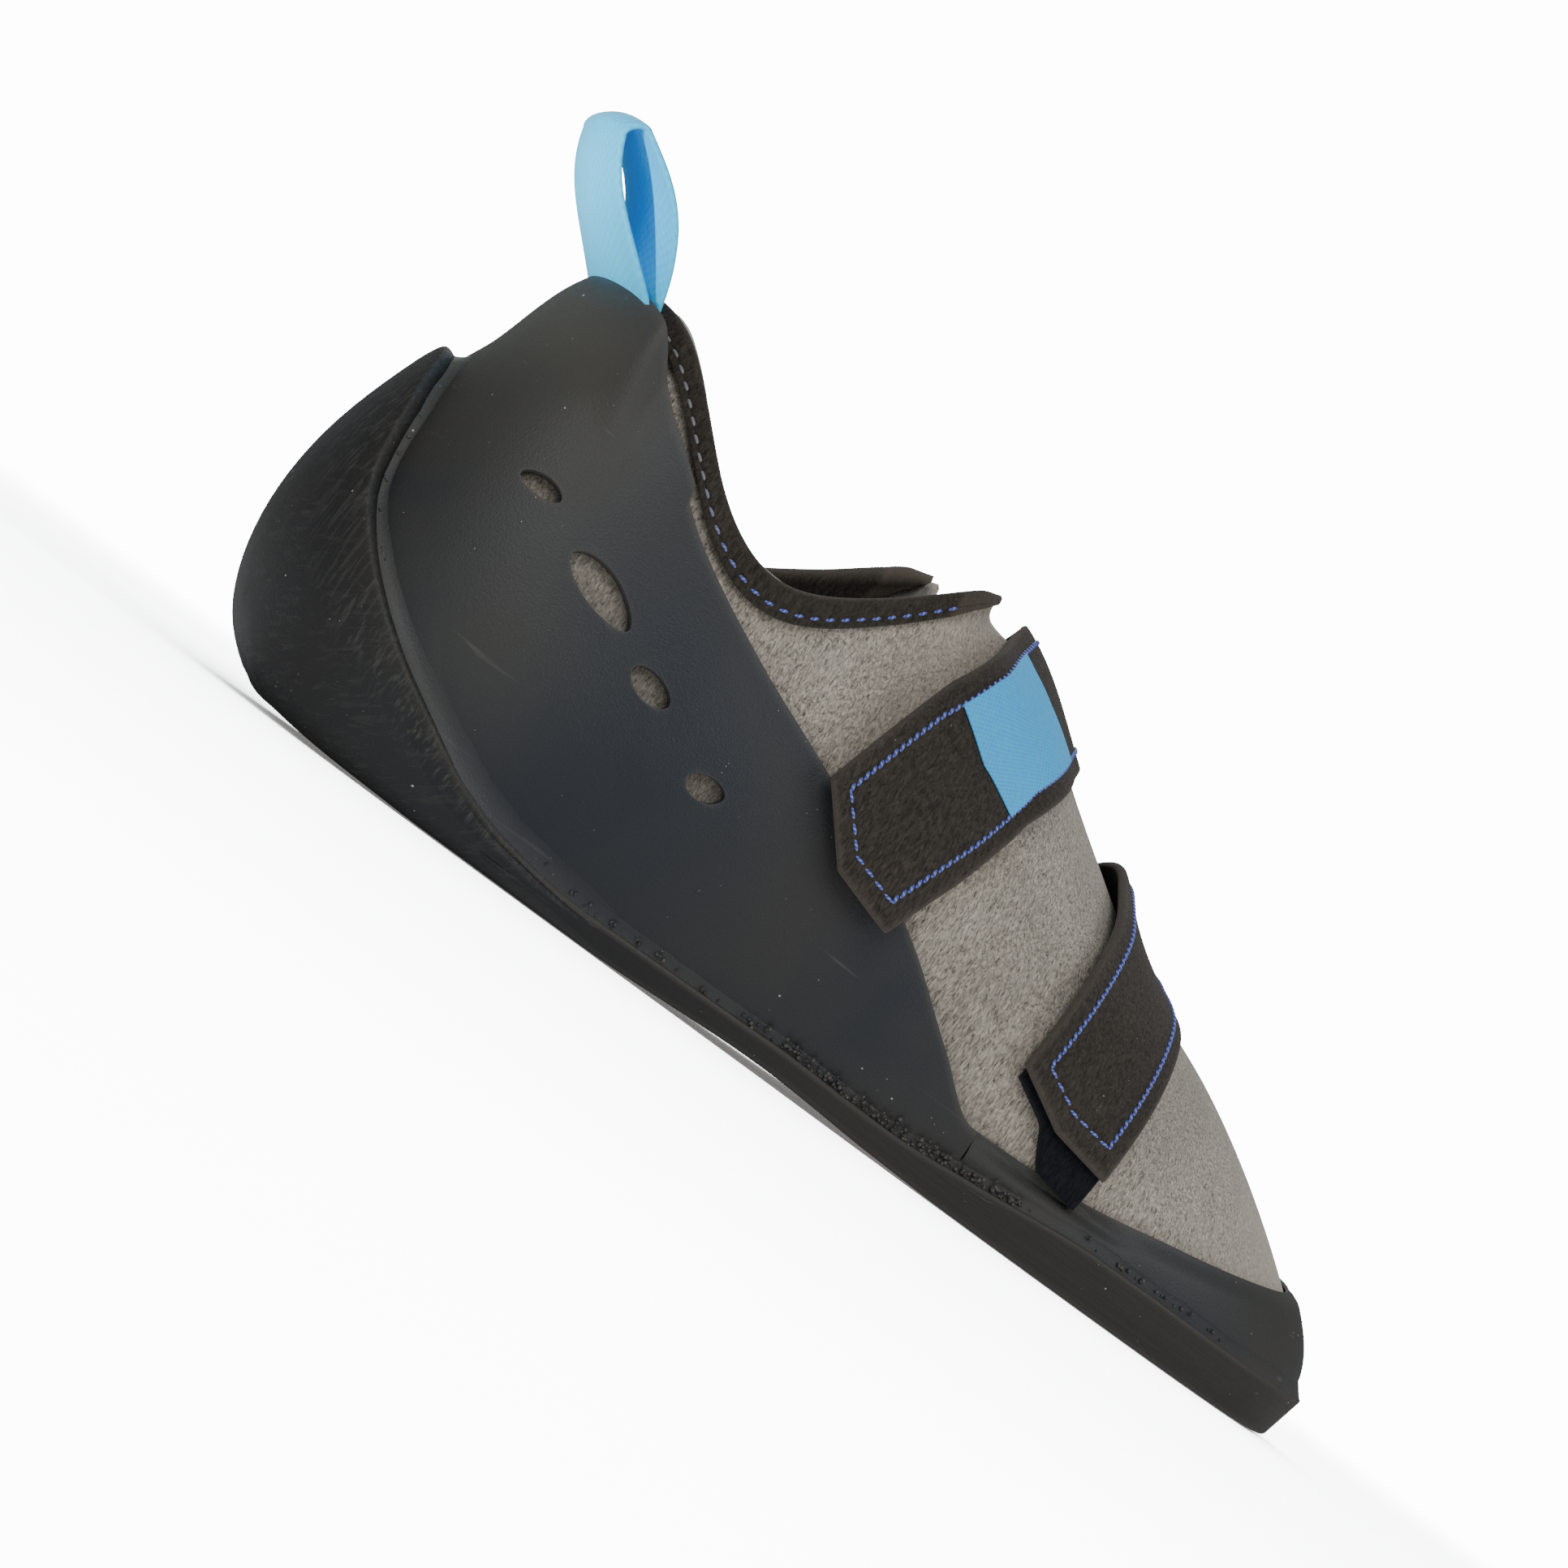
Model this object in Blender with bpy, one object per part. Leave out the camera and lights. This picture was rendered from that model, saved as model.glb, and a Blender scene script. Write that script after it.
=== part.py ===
"""A climbing shoe for the right foot, standing empty on its sole.

Units are metres.  The toe points along +X, the outer side of the foot faces -Y and +Z is up.
Every curved piece is cut from one surface, the last: a point on it is named by its turn
(0 at the back of the heel, 0.25 along the outer side, 0.5 at the toe, 0.75 along the inner side)
and its rise (0 at the sole, 1 at the collar or on the ridge of the instep).
"""

import math

import bmesh
import bpy
import numpy as np
from mathutils import Matrix, Vector

MM = 0.001

# Driving sizes of the last
LAST_LENGTH = 244 * MM
BALL_WIDTH = 90 * MM
INSTEP_HEIGHT = 90 * MM

# Thicknesses, and the clearance between pieces that are glued or sewn face to face
GAP = 0.3 * MM
UPPER_WALL = 2.0 * MM
RAND_GAP = 0.4 * MM
RAND_THICKNESS = 1.8 * MM
SOLE_THICKNESS = 4.5 * MM

# Sections of the last, heel to toe.
# along, top_along: shares of the last's length, at the sole and at the top edge
# outer, inner: distance of the edge from the centre line on each side, shares of the ball width
# lean_out, lean_in: how far the wall leans outwards where it leaves the sole, degrees
# opening: half width of the collar at the top edge, share of the ball width, 0 on the closed vamp
# ridge: how far the middle of the top edge lies towards the inner side, share of the ball width
# height: height of the top edge, share of the instep height
# top_lean: how far the wall leans inwards at its top, degrees, 90 where it lies flat on the ridge
# low_pull, high_pull: fullness of the wall near the sole and near the top
SECTION_COLUMNS = ("along", "outer", "inner", "lean_out", "lean_in", "top_along", "opening", "ridge",
                   "height", "top_lean", "low_pull", "high_pull")
SECTIONS = np.array([
    (0.052, 0.000, 0.000, 60, 60, 0.086, 0.000, 0.000, 1.015, 33, 0.26, 0.57),
    (0.069, 0.155, 0.165, 60, 60, 0.093, 0.110, 0.000, 1.015, 29, 0.27, 0.54),
    (0.122, 0.250, 0.265, 53, 53, 0.122, 0.207, 0.000, 0.975, 18, 0.32, 0.46),
    (0.200, 0.290, 0.300, 42, 44, 0.178, 0.292, 0.000, 0.820, 10, 0.34, 0.39),
    (0.290, 0.312, 0.280, 32, 44, 0.248, 0.325, 0.003, 0.725, 10, 0.34, 0.36),
    (0.385, 0.338, 0.232, 24, 46, 0.322, 0.280, 0.008, 0.812, 18, 0.34, 0.36),
    (0.465, 0.372, 0.240, 18, 44, 0.390, 0.190, 0.012, 0.945, 42, 0.34, 0.36),
    (0.535, 0.405, 0.310, 14, 36, 0.452, 0.000, 0.018, 0.980, 86, 0.36, 0.29),
    (0.605, 0.428, 0.400, 12, 26, 0.530, 0.000, 0.025, 0.855, 90, 0.35, 0.27),
    (0.680, 0.440, 0.490, 12, 18, 0.612, 0.000, 0.032, 0.718, 90, 0.35, 0.27),
    (0.755, 0.428, 0.530, 12, 14, 0.690, 0.000, 0.042, 0.602, 90, 0.36, 0.28),
    (0.825, 0.385, 0.515, 14, 14, 0.760, 0.000, 0.053, 0.535, 90, 0.38, 0.30),
    (0.895, 0.295, 0.460, 16, 16, 0.824, 0.000, 0.066, 0.452, 90, 0.39, 0.32),
    (0.958, 0.145, 0.365, 17, 17, 0.866, 0.000, 0.078, 0.378, 90, 0.39, 0.32),
    (0.994, -0.130, 0.130, 17, 17, 0.890, 0.000, 0.085, 0.325, 90, 0.39, 0.32),
])

# Sole edge: path is the share of the way along the edge from the heel back to the toe tip.
# floor_out, floor_in: height of the bottom edge above the ground on each side
# side: height of the sole's side above the ground; it climbs the back of the heel
# lip: thickness of the sole's side at its top; bevel: how far the bottom edge is ground in
SOLE_COLUMNS = ("path", "floor_out", "floor_in", "side", "lip", "bevel")
SOLE_EDGE = np.array([
    (0.00, 1.5, 1.5, 64.0, 3.4, 0.0),
    (0.03, 1.2, 1.2, 54.0, 3.4, 0.0),
    (0.05, 0.9, 0.9, 38.0, 3.0, 0.0),
    (0.09, 0.4, 0.4, 23.0, 2.6, 0.0),
    (0.12, 0.2, 0.2, 17.0, 2.3, 0.0),
    (0.155, 0.0, 0.0, 12.0, 1.9, 0.2),
    (0.20, 0.0, 0.0, 8.6, 1.5, 0.5),
    (0.27, 0.0, 0.6, 6.6, 1.3, 0.9),
    (0.41, 1.4, 4.6, 6.8, 1.3, 1.2),
    (0.50, 0.4, 2.4, 6.2, 1.3, 1.4),
    (0.57, 0.0, 0.0, 7.4, 1.5, 2.2),
    (0.66, 0.0, 0.0, 9.2, 1.7, 2.6),
    (0.84, 0.0, 0.0, 9.4, 1.8, 2.2),
    (0.94, 0.4, 0.4, 9.6, 1.8, 1.4),
    (1.00, 0.9, 0.9, 9.8, 1.8, 1.2),
])
HEEL_WRAP_PATH = (0.17, 0.30)

# Top line of the rubber rand above the ground, and where the heel rand meets the toe rand
RAND_COLUMNS = ("path", "height")
RAND_LINE = np.array([
    (0.00, 86.5), (0.06, 85.0), (0.13, 76.0), (0.20, 64.0), (0.25, 58.0), (0.29, 54.0),
    (0.37, 46.0), (0.44, 35.0), (0.50, 22.0), (0.545, 14.0), (0.62, 14.5), (0.72, 18.0),
    (0.83, 22.3), (0.92, 24.7), (1.00, 25.2),
])
RAND_SEAM_PATH = 0.548
RAND_START_RISE = 0.02

# Slots cut through the heel rand on the outer side
SLOT_COLUMNS = ("along", "height", "length", "width")
RAND_SLOTS = np.array([
    (0.090, 54.5, 7.5, 3.6),
    (0.158, 47.0, 15.0, 6.2),
    (0.220, 39.5, 8.6, 4.6),
    (0.290, 32.0, 7.4, 4.2),
])

# Throat slit in the upper: half width along the ridge
THROAT_COLUMNS = ("along", "half_width")
THROAT = np.array([(0.40, 13.0), (0.52, 12.0), (0.59, 9.0), (0.64, 5.0), (0.675, 0.0)])

# Collar binding
BINDING_THICKNESS = 1.0 * MM
BINDING_GAP = 0.55 * MM
BINDING_OUTER_SKIRT = 4.8 * MM
BINDING_INNER_SKIRT = 5.0 * MM

# Tongue and insole
TONGUE_THICKNESS = 2.2 * MM
TONGUE_CLEARANCE = 1.6 * MM
TONGUE_OVERLAP = 6 * MM
TONGUE_TAB = 9 * MM
TONGUE_RANGE = (0.455, 0.72)
INSOLE_THICKNESS = 2.2 * MM
INSOLE_INSET = 2.8 * MM

# Straps: each is a band round an axis inside the foot.
# along, aside, height: a point of the axis; yaw, pitch: the axis turned outwards and nosed down
# end_back, end_middle, end_front: angle of the outer end round the axis, measured from the top, at
# the back edge, the middle and the front edge of the strap; inner_end: the same on the inner side
# lift: height of the strap's underside above the upper at the outer end
STRAP_COLUMNS = ("along", "aside", "height", "yaw", "pitch", "end_back", "end_middle", "end_front",
                 "inner_end", "width", "lift")
STRAPS = {
    "strap_upper": (0.458, 2.0, 45.0, 17.6, 18.0, 101.0, 111.0, 111.0, 78.0, 25.5, 4.7),
    "strap_front": (0.650, 4.0, 25.0, 5.8, 7.0, 90.0, 96.0, 97.0, 74.0, 24.5, 2.6),
}
STRAP_THICKNESS = 1.8 * MM
STRAP_REST = 0.6 * MM
PAD_SPAN = (0.60, 0.93)
PAD_CLEARANCE = 0.5 * MM
PAD_WIDTH_SHARE = 0.84
PAD_REST = {"strap_upper": 2.5 * MM, "strap_front": 0.4 * MM}
TAG_SPAN = (0.30, 0.635)
TAG_THICKNESS = 0.5 * MM
TAG_WIDTH_SHARE = 0.74

# Pull loop of webbing, bent backwards off the top of the heel
LOOP_WIDTH = 21 * MM
LOOP_THICKNESS = 1.2 * MM
LOOP_BACK = 20 * MM
LOOP_UP = 19 * MM
LOOP_OPENING = 10.5 * MM
LOOP_FOOT_TURN = 0.032
LOOP_MIDDLE_TURN = 0.010
LOOP_ASIDE = -4 * MM

# How finely the surfaces are divided: stations from the heel back to the toe, closer where the
# last is most curved, the same on both sides
UPPER_LEVELS = 8
HALF_STATIONS = np.concatenate([np.linspace(0, 0.1, 13)[:-1], np.linspace(0.1, 0.42, 25)[:-1],
                                np.linspace(0.42, 0.5, 12)])
STATIONS = np.concatenate([HALF_STATIONS, 1 - HALF_STATIONS[-2:0:-1]])
WRAP_LEVELS = np.linspace(0, 0.72, 11)
WRAP_CLEARANCE = 0.2 * MM

OUTER_RAND = RAND_GAP + RAND_THICKNESS


def loop_values(outer_side, inner_side):
    """Values once round the last: out along the outer side, back along the inner side."""
    return np.concatenate([outer_side, inner_side[-2:0:-1]])


def smooth_loop(knots, values, at):
    """Cubic curve with even curvature through values on a loop of length 1."""
    count = len(knots)
    step = np.diff(np.append(knots, knots[0] + 1))
    slope = (np.roll(values, -1) - values) / step
    matrix = np.zeros((count, count))
    for i in range(count):
        matrix[i, i - 1] += step[i - 1]
        matrix[i, i] += 2 * (step[i - 1] + step[i])
        matrix[i, (i + 1) % count] += step[i]
    bend = np.linalg.solve(matrix, 6 * (slope - np.roll(slope, 1)))
    at = np.mod(at, 1)
    i = np.clip(np.searchsorted(knots, at, side="right") - 1, 0, count - 1)
    j = (i + 1) % count
    h = step[i]
    s = at - knots[i]
    first = slope[i] - h * (2 * bend[i] + bend[j]) / 6
    return values[i] + s * first + s ** 2 * bend[i] / 2 + s ** 3 * (bend[j] - bend[i]) / (6 * h)


def steady_loop(knots, values, at):
    """Cubic curve on a loop that never swings past its own values."""
    step = np.diff(np.append(knots, knots[0] + 1))
    after = (np.roll(values, -1) - values) / step
    before = np.roll(after, 1)
    step_before = np.roll(step, 1)
    near = 2 * step + step_before
    far = step + 2 * step_before
    same = before * after > 0
    safe_before = np.where(same, before, 1)
    safe_after = np.where(same, after, 1)
    tangent = np.where(same, (near + far) / (near / safe_before + far / safe_after), 0)
    at = np.mod(at, 1)
    i = np.clip(np.searchsorted(knots, at, side="right") - 1, 0, len(knots) - 1)
    j = (i + 1) % len(knots)
    h = step[i]
    s = (at - knots[i]) / h
    return ((1 + 2 * s) * (1 - s) ** 2 * values[i] + s * (1 - s) ** 2 * h * tangent[i]
            + s ** 2 * (3 - 2 * s) * values[j] + s ** 2 * (s - 1) * h * tangent[j])


def blend(low, high, value):
    """0 below low, 1 above high, a soft step between."""
    s = np.clip((value - low) / (high - low), 0, 1)
    return s * s * (3 - 2 * s)


def unit(vectors):
    return vectors / np.linalg.norm(vectors, axis=-1, keepdims=True)


def section(name):
    return SECTIONS[:, SECTION_COLUMNS.index(name)]


OUTER_EDGE = np.stack([section("along") * LAST_LENGTH, -section("outer") * BALL_WIDTH], 1)
INNER_EDGE = np.stack([section("along") * LAST_LENGTH, section("inner") * BALL_WIDTH], 1)
EDGE_STEPS = (np.linalg.norm(np.diff(OUTER_EDGE, axis=0), axis=1)
              + np.linalg.norm(np.diff(INNER_EDGE, axis=0), axis=1))
SECTION_PATHS = np.concatenate([[0], np.cumsum(EDGE_STEPS)]) / EDGE_STEPS.sum()
SECTION_TURNS = loop_values(SECTION_PATHS / 2, 1 - SECTION_PATHS / 2)


def path_of(turn):
    """Share of the way from the heel back to the toe tip, on either side."""
    turn = np.mod(turn, 1)
    return 2 * np.minimum(turn, 1 - turn)


def on_sections(name, turn, curve=steady_loop):
    values = section(name)
    return curve(SECTION_TURNS, loop_values(values, values), turn)


def on_table(table, columns, name, turn):
    """A column of a path table, read at a turn with soft steps between its rows."""
    paths = table[:, 0]
    values = table[:, columns.index(name)]
    knots = loop_values(paths / 2, 1 - paths / 2)
    return steady_loop(knots, loop_values(values, values), turn)


def sole_row(name, turn):
    return on_table(SOLE_EDGE, SOLE_COLUMNS, name, turn) * MM


def floor_height(turn):
    turn = np.mod(turn, 1)
    return np.where(turn <= 0.5, sole_row("floor_out", turn), sole_row("floor_in", turn))


def edge_plan(turn):
    """Plan of the edge where the upper meets the sole."""
    x = smooth_loop(SECTION_TURNS, loop_values(OUTER_EDGE[:, 0], INNER_EDGE[:, 0]), turn)
    y = smooth_loop(SECTION_TURNS, loop_values(OUTER_EDGE[:, 1], INNER_EDGE[:, 1]), turn)
    return np.stack([x, y], -1)


def edge_outward(turn):
    """Level unit vector that points out of the edge."""
    along = edge_plan(turn + 1e-4) - edge_plan(turn - 1e-4)
    return unit(np.stack([along[..., 1], -along[..., 0]], -1))


def ridge_line(turn):
    """Middle of the top edge: the line that the two sides of the vamp share."""
    x = on_sections("top_along", turn, smooth_loop) * LAST_LENGTH
    y = on_sections("ridge", turn, smooth_loop) * BALL_WIDTH
    z = on_sections("height", turn, smooth_loop) * INSTEP_HEIGHT
    return np.stack([x, y, z], -1)


def half_opening(turn):
    values = section("opening") * BALL_WIDTH
    return steady_loop(SECTION_TURNS, loop_values(-values, values), turn)


def last(turn, rise):
    """Point of the last: at each turn a cubic curve runs from the sole edge to the top edge."""
    turn, rise = np.broadcast_arrays(np.asarray(turn, float), np.asarray(rise, float))
    plan = edge_plan(turn)
    out = edge_outward(turn)
    foot = np.stack([plan[..., 0], plan[..., 1], floor_height(turn) + SOLE_THICKNESS + GAP], -1)
    top = ridge_line(turn)
    top[..., 1] += half_opening(turn)
    span = np.linalg.norm(top - foot, axis=-1, keepdims=True)
    outer_lean = section("lean_out")
    inner_lean = section("lean_in")
    lean = np.radians(steady_loop(SECTION_TURNS, loop_values(outer_lean, inner_lean), turn))
    top_lean = np.radians(on_sections("top_lean", turn))
    near = np.clip(path_of(turn), 0.02, 0.94) / 2
    fall = ridge_line(near + 0.01) - ridge_line(near - 0.01)
    slope = fall[..., 2] / np.maximum(fall[..., 0], 1e-6) * blend(60, 88, np.degrees(top_lean))
    start = np.stack([out[..., 0] * np.sin(lean), out[..., 1] * np.sin(lean), np.cos(lean)], -1)
    finish = np.stack([-out[..., 0] * np.sin(top_lean), -out[..., 1] * np.sin(top_lean),
                       np.cos(top_lean) - out[..., 0] * slope], -1)
    low = foot + start * span * on_sections("low_pull", turn)[..., None]
    high = top - unit(finish) * span * on_sections("high_pull", turn)[..., None]
    s = rise[..., None]
    return ((1 - s) ** 3 * foot + 3 * s * (1 - s) ** 2 * low + 3 * s ** 2 * (1 - s) * high
            + s ** 3 * top)


def outward(turn, rise):
    """Unit vector that points out of the last."""
    turn, rise = np.broadcast_arrays(np.asarray(turn, float), np.asarray(rise, float))
    inside = np.clip(rise, 0.004, 0.985)

    def raw(at):
        along = last(at + 4e-4, inside) - last(at - 4e-4, inside)
        up = last(at, inside + 0.004) - last(at, inside - 0.004)
        return unit(np.cross(along, up))

    shared = (np.abs(half_opening(turn)) < 1e-7) * blend(0.8, 1.0, rise)
    return unit(raw(turn) + raw(1 - turn) * shared[..., None])


def skin(turn, rise, offset):
    """The last moved outwards by an offset."""
    return last(turn, rise) + outward(turn, rise) * np.asarray(offset)[..., None]


def rise_at_height(turn, height):
    """Rise at which each section reaches a height."""
    turn = np.atleast_1d(turn)
    height = np.broadcast_to(height, turn.shape)
    steps = np.linspace(0, 1, 121)
    heights = last(turn[:, None], steps[None, :])[..., 2]
    heights = np.maximum.accumulate(heights, axis=1)
    return np.array([np.interp(h, row, steps) for h, row in zip(height, heights)])


def turn_at(along, height):
    """Turn at which the outer wall, at a height, lies a share of the last's length from the heel."""
    turns = np.linspace(0.02, 0.47, 181)
    places = last(turns, rise_at_height(turns, height))[:, 0]
    return np.interp(along * LAST_LENGTH, np.maximum.accumulate(places), turns)


def ridge_turn(along):
    turns = np.linspace(0.15, 0.5, 241)
    return float(np.interp(along * LAST_LENGTH, ridge_line(turns)[:, 0], turns))


def throat_half_width(turn):
    along = ridge_line(turn)[..., 0] / LAST_LENGTH
    width = np.interp(along, THROAT[:, 0], THROAT[:, 1], left=0) * MM
    return np.where(np.abs(half_opening(turn)) > 13 * MM, 0, width)


def top_rise(turn):
    """Rise of the upper's own top edge: 1 on the collar and the vamp, less beside the throat."""
    turn = np.atleast_1d(turn)
    width = throat_half_width(turn)
    steps = np.linspace(0.3, 1, 141)
    points = last(turn[:, None], steps[None, :])
    away = np.abs(points[..., 1] - ridge_line(turn)[:, None, 1])
    away = np.minimum.accumulate(away, axis=1)
    cut = np.array([np.interp(-w, -row, steps) for w, row in zip(width, away)])
    return np.where(width > 0, cut, 1.0)


def corner_turn():
    """Turn of the last common station before the front corner of the collar."""
    turns = HALF_STATIONS
    wide = np.abs(half_opening(turns)) > 13 * MM
    return float(turns[wide].max())


def material(name, color, roughness):
    made = bpy.data.materials.new(name)
    made.use_nodes = True
    shader = made.node_tree.nodes["Principled BSDF"]
    shader.inputs["Base Color"].default_value = (*color, 1)
    shader.inputs["Roughness"].default_value = roughness
    return made


def add_object(name, points, faces, made_of):
    """One closed body from points and faces; points that coincide are joined."""
    mesh = bpy.data.meshes.new(name)
    body = bmesh.new()
    corners = [body.verts.new(point) for point in points]
    for face in faces:
        try:
            body.faces.new([corners[i] for i in face])
        except ValueError:
            continue
    bmesh.ops.remove_doubles(body, verts=body.verts, dist=0.00001)
    bmesh.ops.recalc_face_normals(body, faces=body.faces)
    if body.calc_volume(signed=True) < 0:
        bmesh.ops.reverse_faces(body, faces=body.faces)
    for face in body.faces:
        face.smooth = True
    body.to_mesh(mesh)
    body.free()
    mesh.materials.append(made_of)
    thing = bpy.data.objects.new(name, mesh)
    bpy.context.scene.collection.objects.link(thing)
    return thing


def sheet_faces(outer, inner, closed=False, rim=None):
    """Points and faces of a sheet with thickness between two grids of the same shape.

    closed joins the last row of the grid to the first; rim says, row by row, whether the far edge
    is an edge of the sheet (True) or is shared with the mirrored row (False).
    """
    rows, columns = outer.shape[:2]
    points = np.concatenate([outer.reshape(-1, 3), inner.reshape(-1, 3)])
    under = rows * columns
    faces = []
    for i in range(rows if closed else rows - 1):
        a = i * columns
        b = ((i + 1) % rows) * columns
        for j in range(columns - 1):
            faces.append((a + j, b + j, b + j + 1, a + j + 1))
            faces.append((under + a + j, under + a + j + 1, under + b + j + 1, under + b + j))
        faces.append((a, under + a, under + b, b))
        if rim is None or rim[i] or rim[(i + 1) % rows]:
            far = columns - 1
            faces.append((a + far, b + far, under + b + far, under + a + far))
    if not closed:
        for row in (0, rows - 1):
            a = row * columns
            for j in range(columns - 1):
                faces.append((a + j, a + j + 1, under + a + j + 1, under + a + j))
    return points, faces


def add_sheet(name, outer, inner, made_of, closed=False, rim=None):
    points, faces = sheet_faces(outer, inner, closed, rim)
    return add_object(name, points, faces, made_of)


def add_tube(name, rings, made_of, closed):
    """A closed outline carried along a path; open paths get flat ends."""
    rows, columns = rings.shape[:2]
    faces = []
    for i in range(rows if closed else rows - 1):
        a = i * columns
        b = ((i + 1) % rows) * columns
        for j in range(columns):
            k = (j + 1) % columns
            faces.append((a + j, b + j, b + k, a + k))
    if not closed:
        for row in (0, rows - 1):
            faces.append(tuple(range(row * columns, (row + 1) * columns)))
    return add_object(name, rings.reshape(-1, 3), faces, made_of)


def add_upper(made_of):
    turns = STATIONS
    top = top_rise(turns)
    rise = top[:, None] * np.linspace(0, 1, UPPER_LEVELS + 1)[None, :]
    outer = skin(turns[:, None], rise, np.zeros(rise.shape))
    inner = skin(turns[:, None], rise, np.full(rise.shape, -UPPER_WALL))
    is_rim = (np.abs(half_opening(turns)) > 1e-7) | (top < 1) | (turns == 0)
    return add_sheet("upper", outer, inner, made_of, True, is_rim)


def sole_profile(turn):
    """Points of the sole's side at each turn, from the plate under the upper to the bottom edge."""
    plan = edge_plan(turn)
    out = edge_outward(turn)
    floor = floor_height(turn)
    plate = np.stack([plan[:, 0], plan[:, 1], floor + SOLE_THICKNESS], -1)
    side = np.maximum(sole_row("side", turn), floor + SOLE_THICKNESS + 1.0 * MM)
    top = rise_at_height(turn, side)
    wrap = 1 - blend(HEEL_WRAP_PATH[0], HEEL_WRAP_PATH[1], path_of(turn))
    clear = OUTER_RAND + GAP + WRAP_CLEARANCE * wrap
    lip = sole_row("lip", turn)
    inside = [skin(turn, np.minimum(top, level), clear) for level in WRAP_LEVELS] + [skin(turn, top, clear)]
    inside[0][:, 2] = np.maximum(inside[0][:, 2], floor + 1.2 * MM)
    reach = clear + lip - sole_row("bevel", turn)
    corner = plan + out * (reach * (1 - wrap) + 2.6 * MM * wrap)[:, None]
    bottom = np.stack([corner[:, 0], corner[:, 1], floor], -1)
    ledge = skin(turn, top, clear + lip)
    outside = [ledge]
    for s in (0.8, 0.6, 0.4, 0.2):
        thick = lip + (3.4 * MM - lip) * blend(0.0, 0.5, 1 - s)
        around = skin(turn, np.maximum(top * s, 0.03), clear + thick)
        straight = bottom + (ledge - bottom) * s
        outside.append(around * wrap[:, None] + straight * (1 - wrap[:, None]))
    return np.stack([plate] + inside + outside + [bottom], 1)


def add_plate_body(name, profile, made_of):
    """A body whose side goes once round the last and whose top and bottom run straight across."""
    rows, columns = profile.shape[:2]
    faces = []
    for i in range(rows):
        a = i * columns
        b = ((i + 1) % rows) * columns
        for j in range(columns - 1):
            faces.append((a + j, b + j, b + j + 1, a + j + 1))
    for i in range(rows // 2):
        a = i * columns
        b = (i + 1) * columns
        c = ((rows - i - 1) % rows) * columns
        d = ((rows - i) % rows) * columns
        for j in (0, columns - 1):
            faces.append(tuple(dict.fromkeys((a + j, b + j, c + j, d + j))))
    return add_object(name, profile.reshape(-1, 3), faces, made_of)


def add_outsole(made_of):
    return add_plate_body("outsole", sole_profile(STATIONS), made_of)


def add_insole(made_of):
    turns = STATIONS
    plan = edge_plan(turns) - edge_outward(turns) * INSOLE_INSET
    low = floor_height(turns) + SOLE_THICKNESS + GAP
    bottom = np.stack([plan[:, 0], plan[:, 1], low], -1)
    top = bottom + np.array([0, 0, INSOLE_THICKNESS])
    return add_plate_body("insole", np.stack([top, bottom], 1), made_of)


def rand_top(turn):
    """Rise of the rand's top line, kept under the skirt of the collar binding."""
    height = on_table(RAND_LINE, RAND_COLUMNS, "height", turn) * MM
    collar = path_of(turn) < 2 * corner_turn() + 0.02
    limit = np.where(collar, binding_low_rise(turn, BINDING_OUTER_SKIRT + 0.6 * MM), 1)
    return np.minimum(rise_at_height(turn, height), limit)


def rand_sheet(name, turns, levels, made_of):
    share = np.linspace(0, 1, levels + 1)[None, :]
    rise = RAND_START_RISE + (rand_top(turns)[:, None] - RAND_START_RISE) * share
    outer = skin(turns[:, None], rise, np.full(rise.shape, OUTER_RAND))
    inner = skin(turns[:, None], rise, np.full(rise.shape, RAND_GAP))
    return add_sheet(name, outer, inner, made_of)


def turns_between(first, final):
    """The common stations between two turns, with both ends added."""
    grid = np.concatenate([STATIONS - 1, STATIONS])
    inside = grid[(grid > first + 0.002) & (grid < final - 0.002)]
    return np.concatenate([[first], inside, [final]])


def add_slot_cutter(row, number):
    """An oval prism that stands across the rand."""
    along, height, length, width = row
    turn = turn_at(along, height * MM)
    rise = float(rise_at_height(turn, height * MM)[0])
    middle = Vector(last(turn, rise))
    normal = Vector(outward(turn, rise))
    ahead = Vector(last(turn + 0.004, rise) - last(turn - 0.004, rise))
    ahead = (ahead - normal * ahead.dot(normal)).normalized()
    across = normal.cross(ahead)
    body = bmesh.new()
    ring = bmesh.ops.create_circle(body, cap_ends=True, radius=1, segments=20)["verts"]
    bmesh.ops.scale(body, vec=(length * MM / 2, width * MM / 2, 1), verts=ring)
    bmesh.ops.translate(body, vec=(0, 0, -4 * MM), verts=ring)
    pushed = bmesh.ops.extrude_face_region(body, geom=list(body.faces))["geom"]
    top = [item for item in pushed if isinstance(item, bmesh.types.BMVert)]
    bmesh.ops.translate(body, vec=(0, 0, 12 * MM), verts=top)
    place = Matrix((ahead, across, normal)).transposed().to_4x4()
    place.translation = middle
    bmesh.ops.transform(body, matrix=place, verts=body.verts)
    bmesh.ops.recalc_face_normals(body, faces=body.faces)
    mesh = bpy.data.meshes.new("slot_cutter_%d" % number)
    body.to_mesh(mesh)
    body.free()
    cutter = bpy.data.objects.new(mesh.name, mesh)
    cutter.hide_render = True
    cutter.display_type = "WIRE"
    bpy.context.scene.collection.objects.link(cutter)
    return cutter


def add_rands(made_of_heel, made_of_toe):
    seam = RAND_SEAM_PATH / 2
    heel = rand_sheet("heel_rand", turns_between(-seam, seam), 7, made_of_heel)
    cutters = [add_slot_cutter(row, number) for number, row in enumerate(RAND_SLOTS)]
    for cutter in cutters:
        cut = heel.modifiers.new(cutter.name, "BOOLEAN")
        cut.operation = "DIFFERENCE"
        cut.solver = "EXACT"
        cut.object = cutter
    step = 0.0006
    rand_sheet("toe_rand", turns_between(seam + step, 1 - seam - step), 6, made_of_toe)
    return cutters


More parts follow.
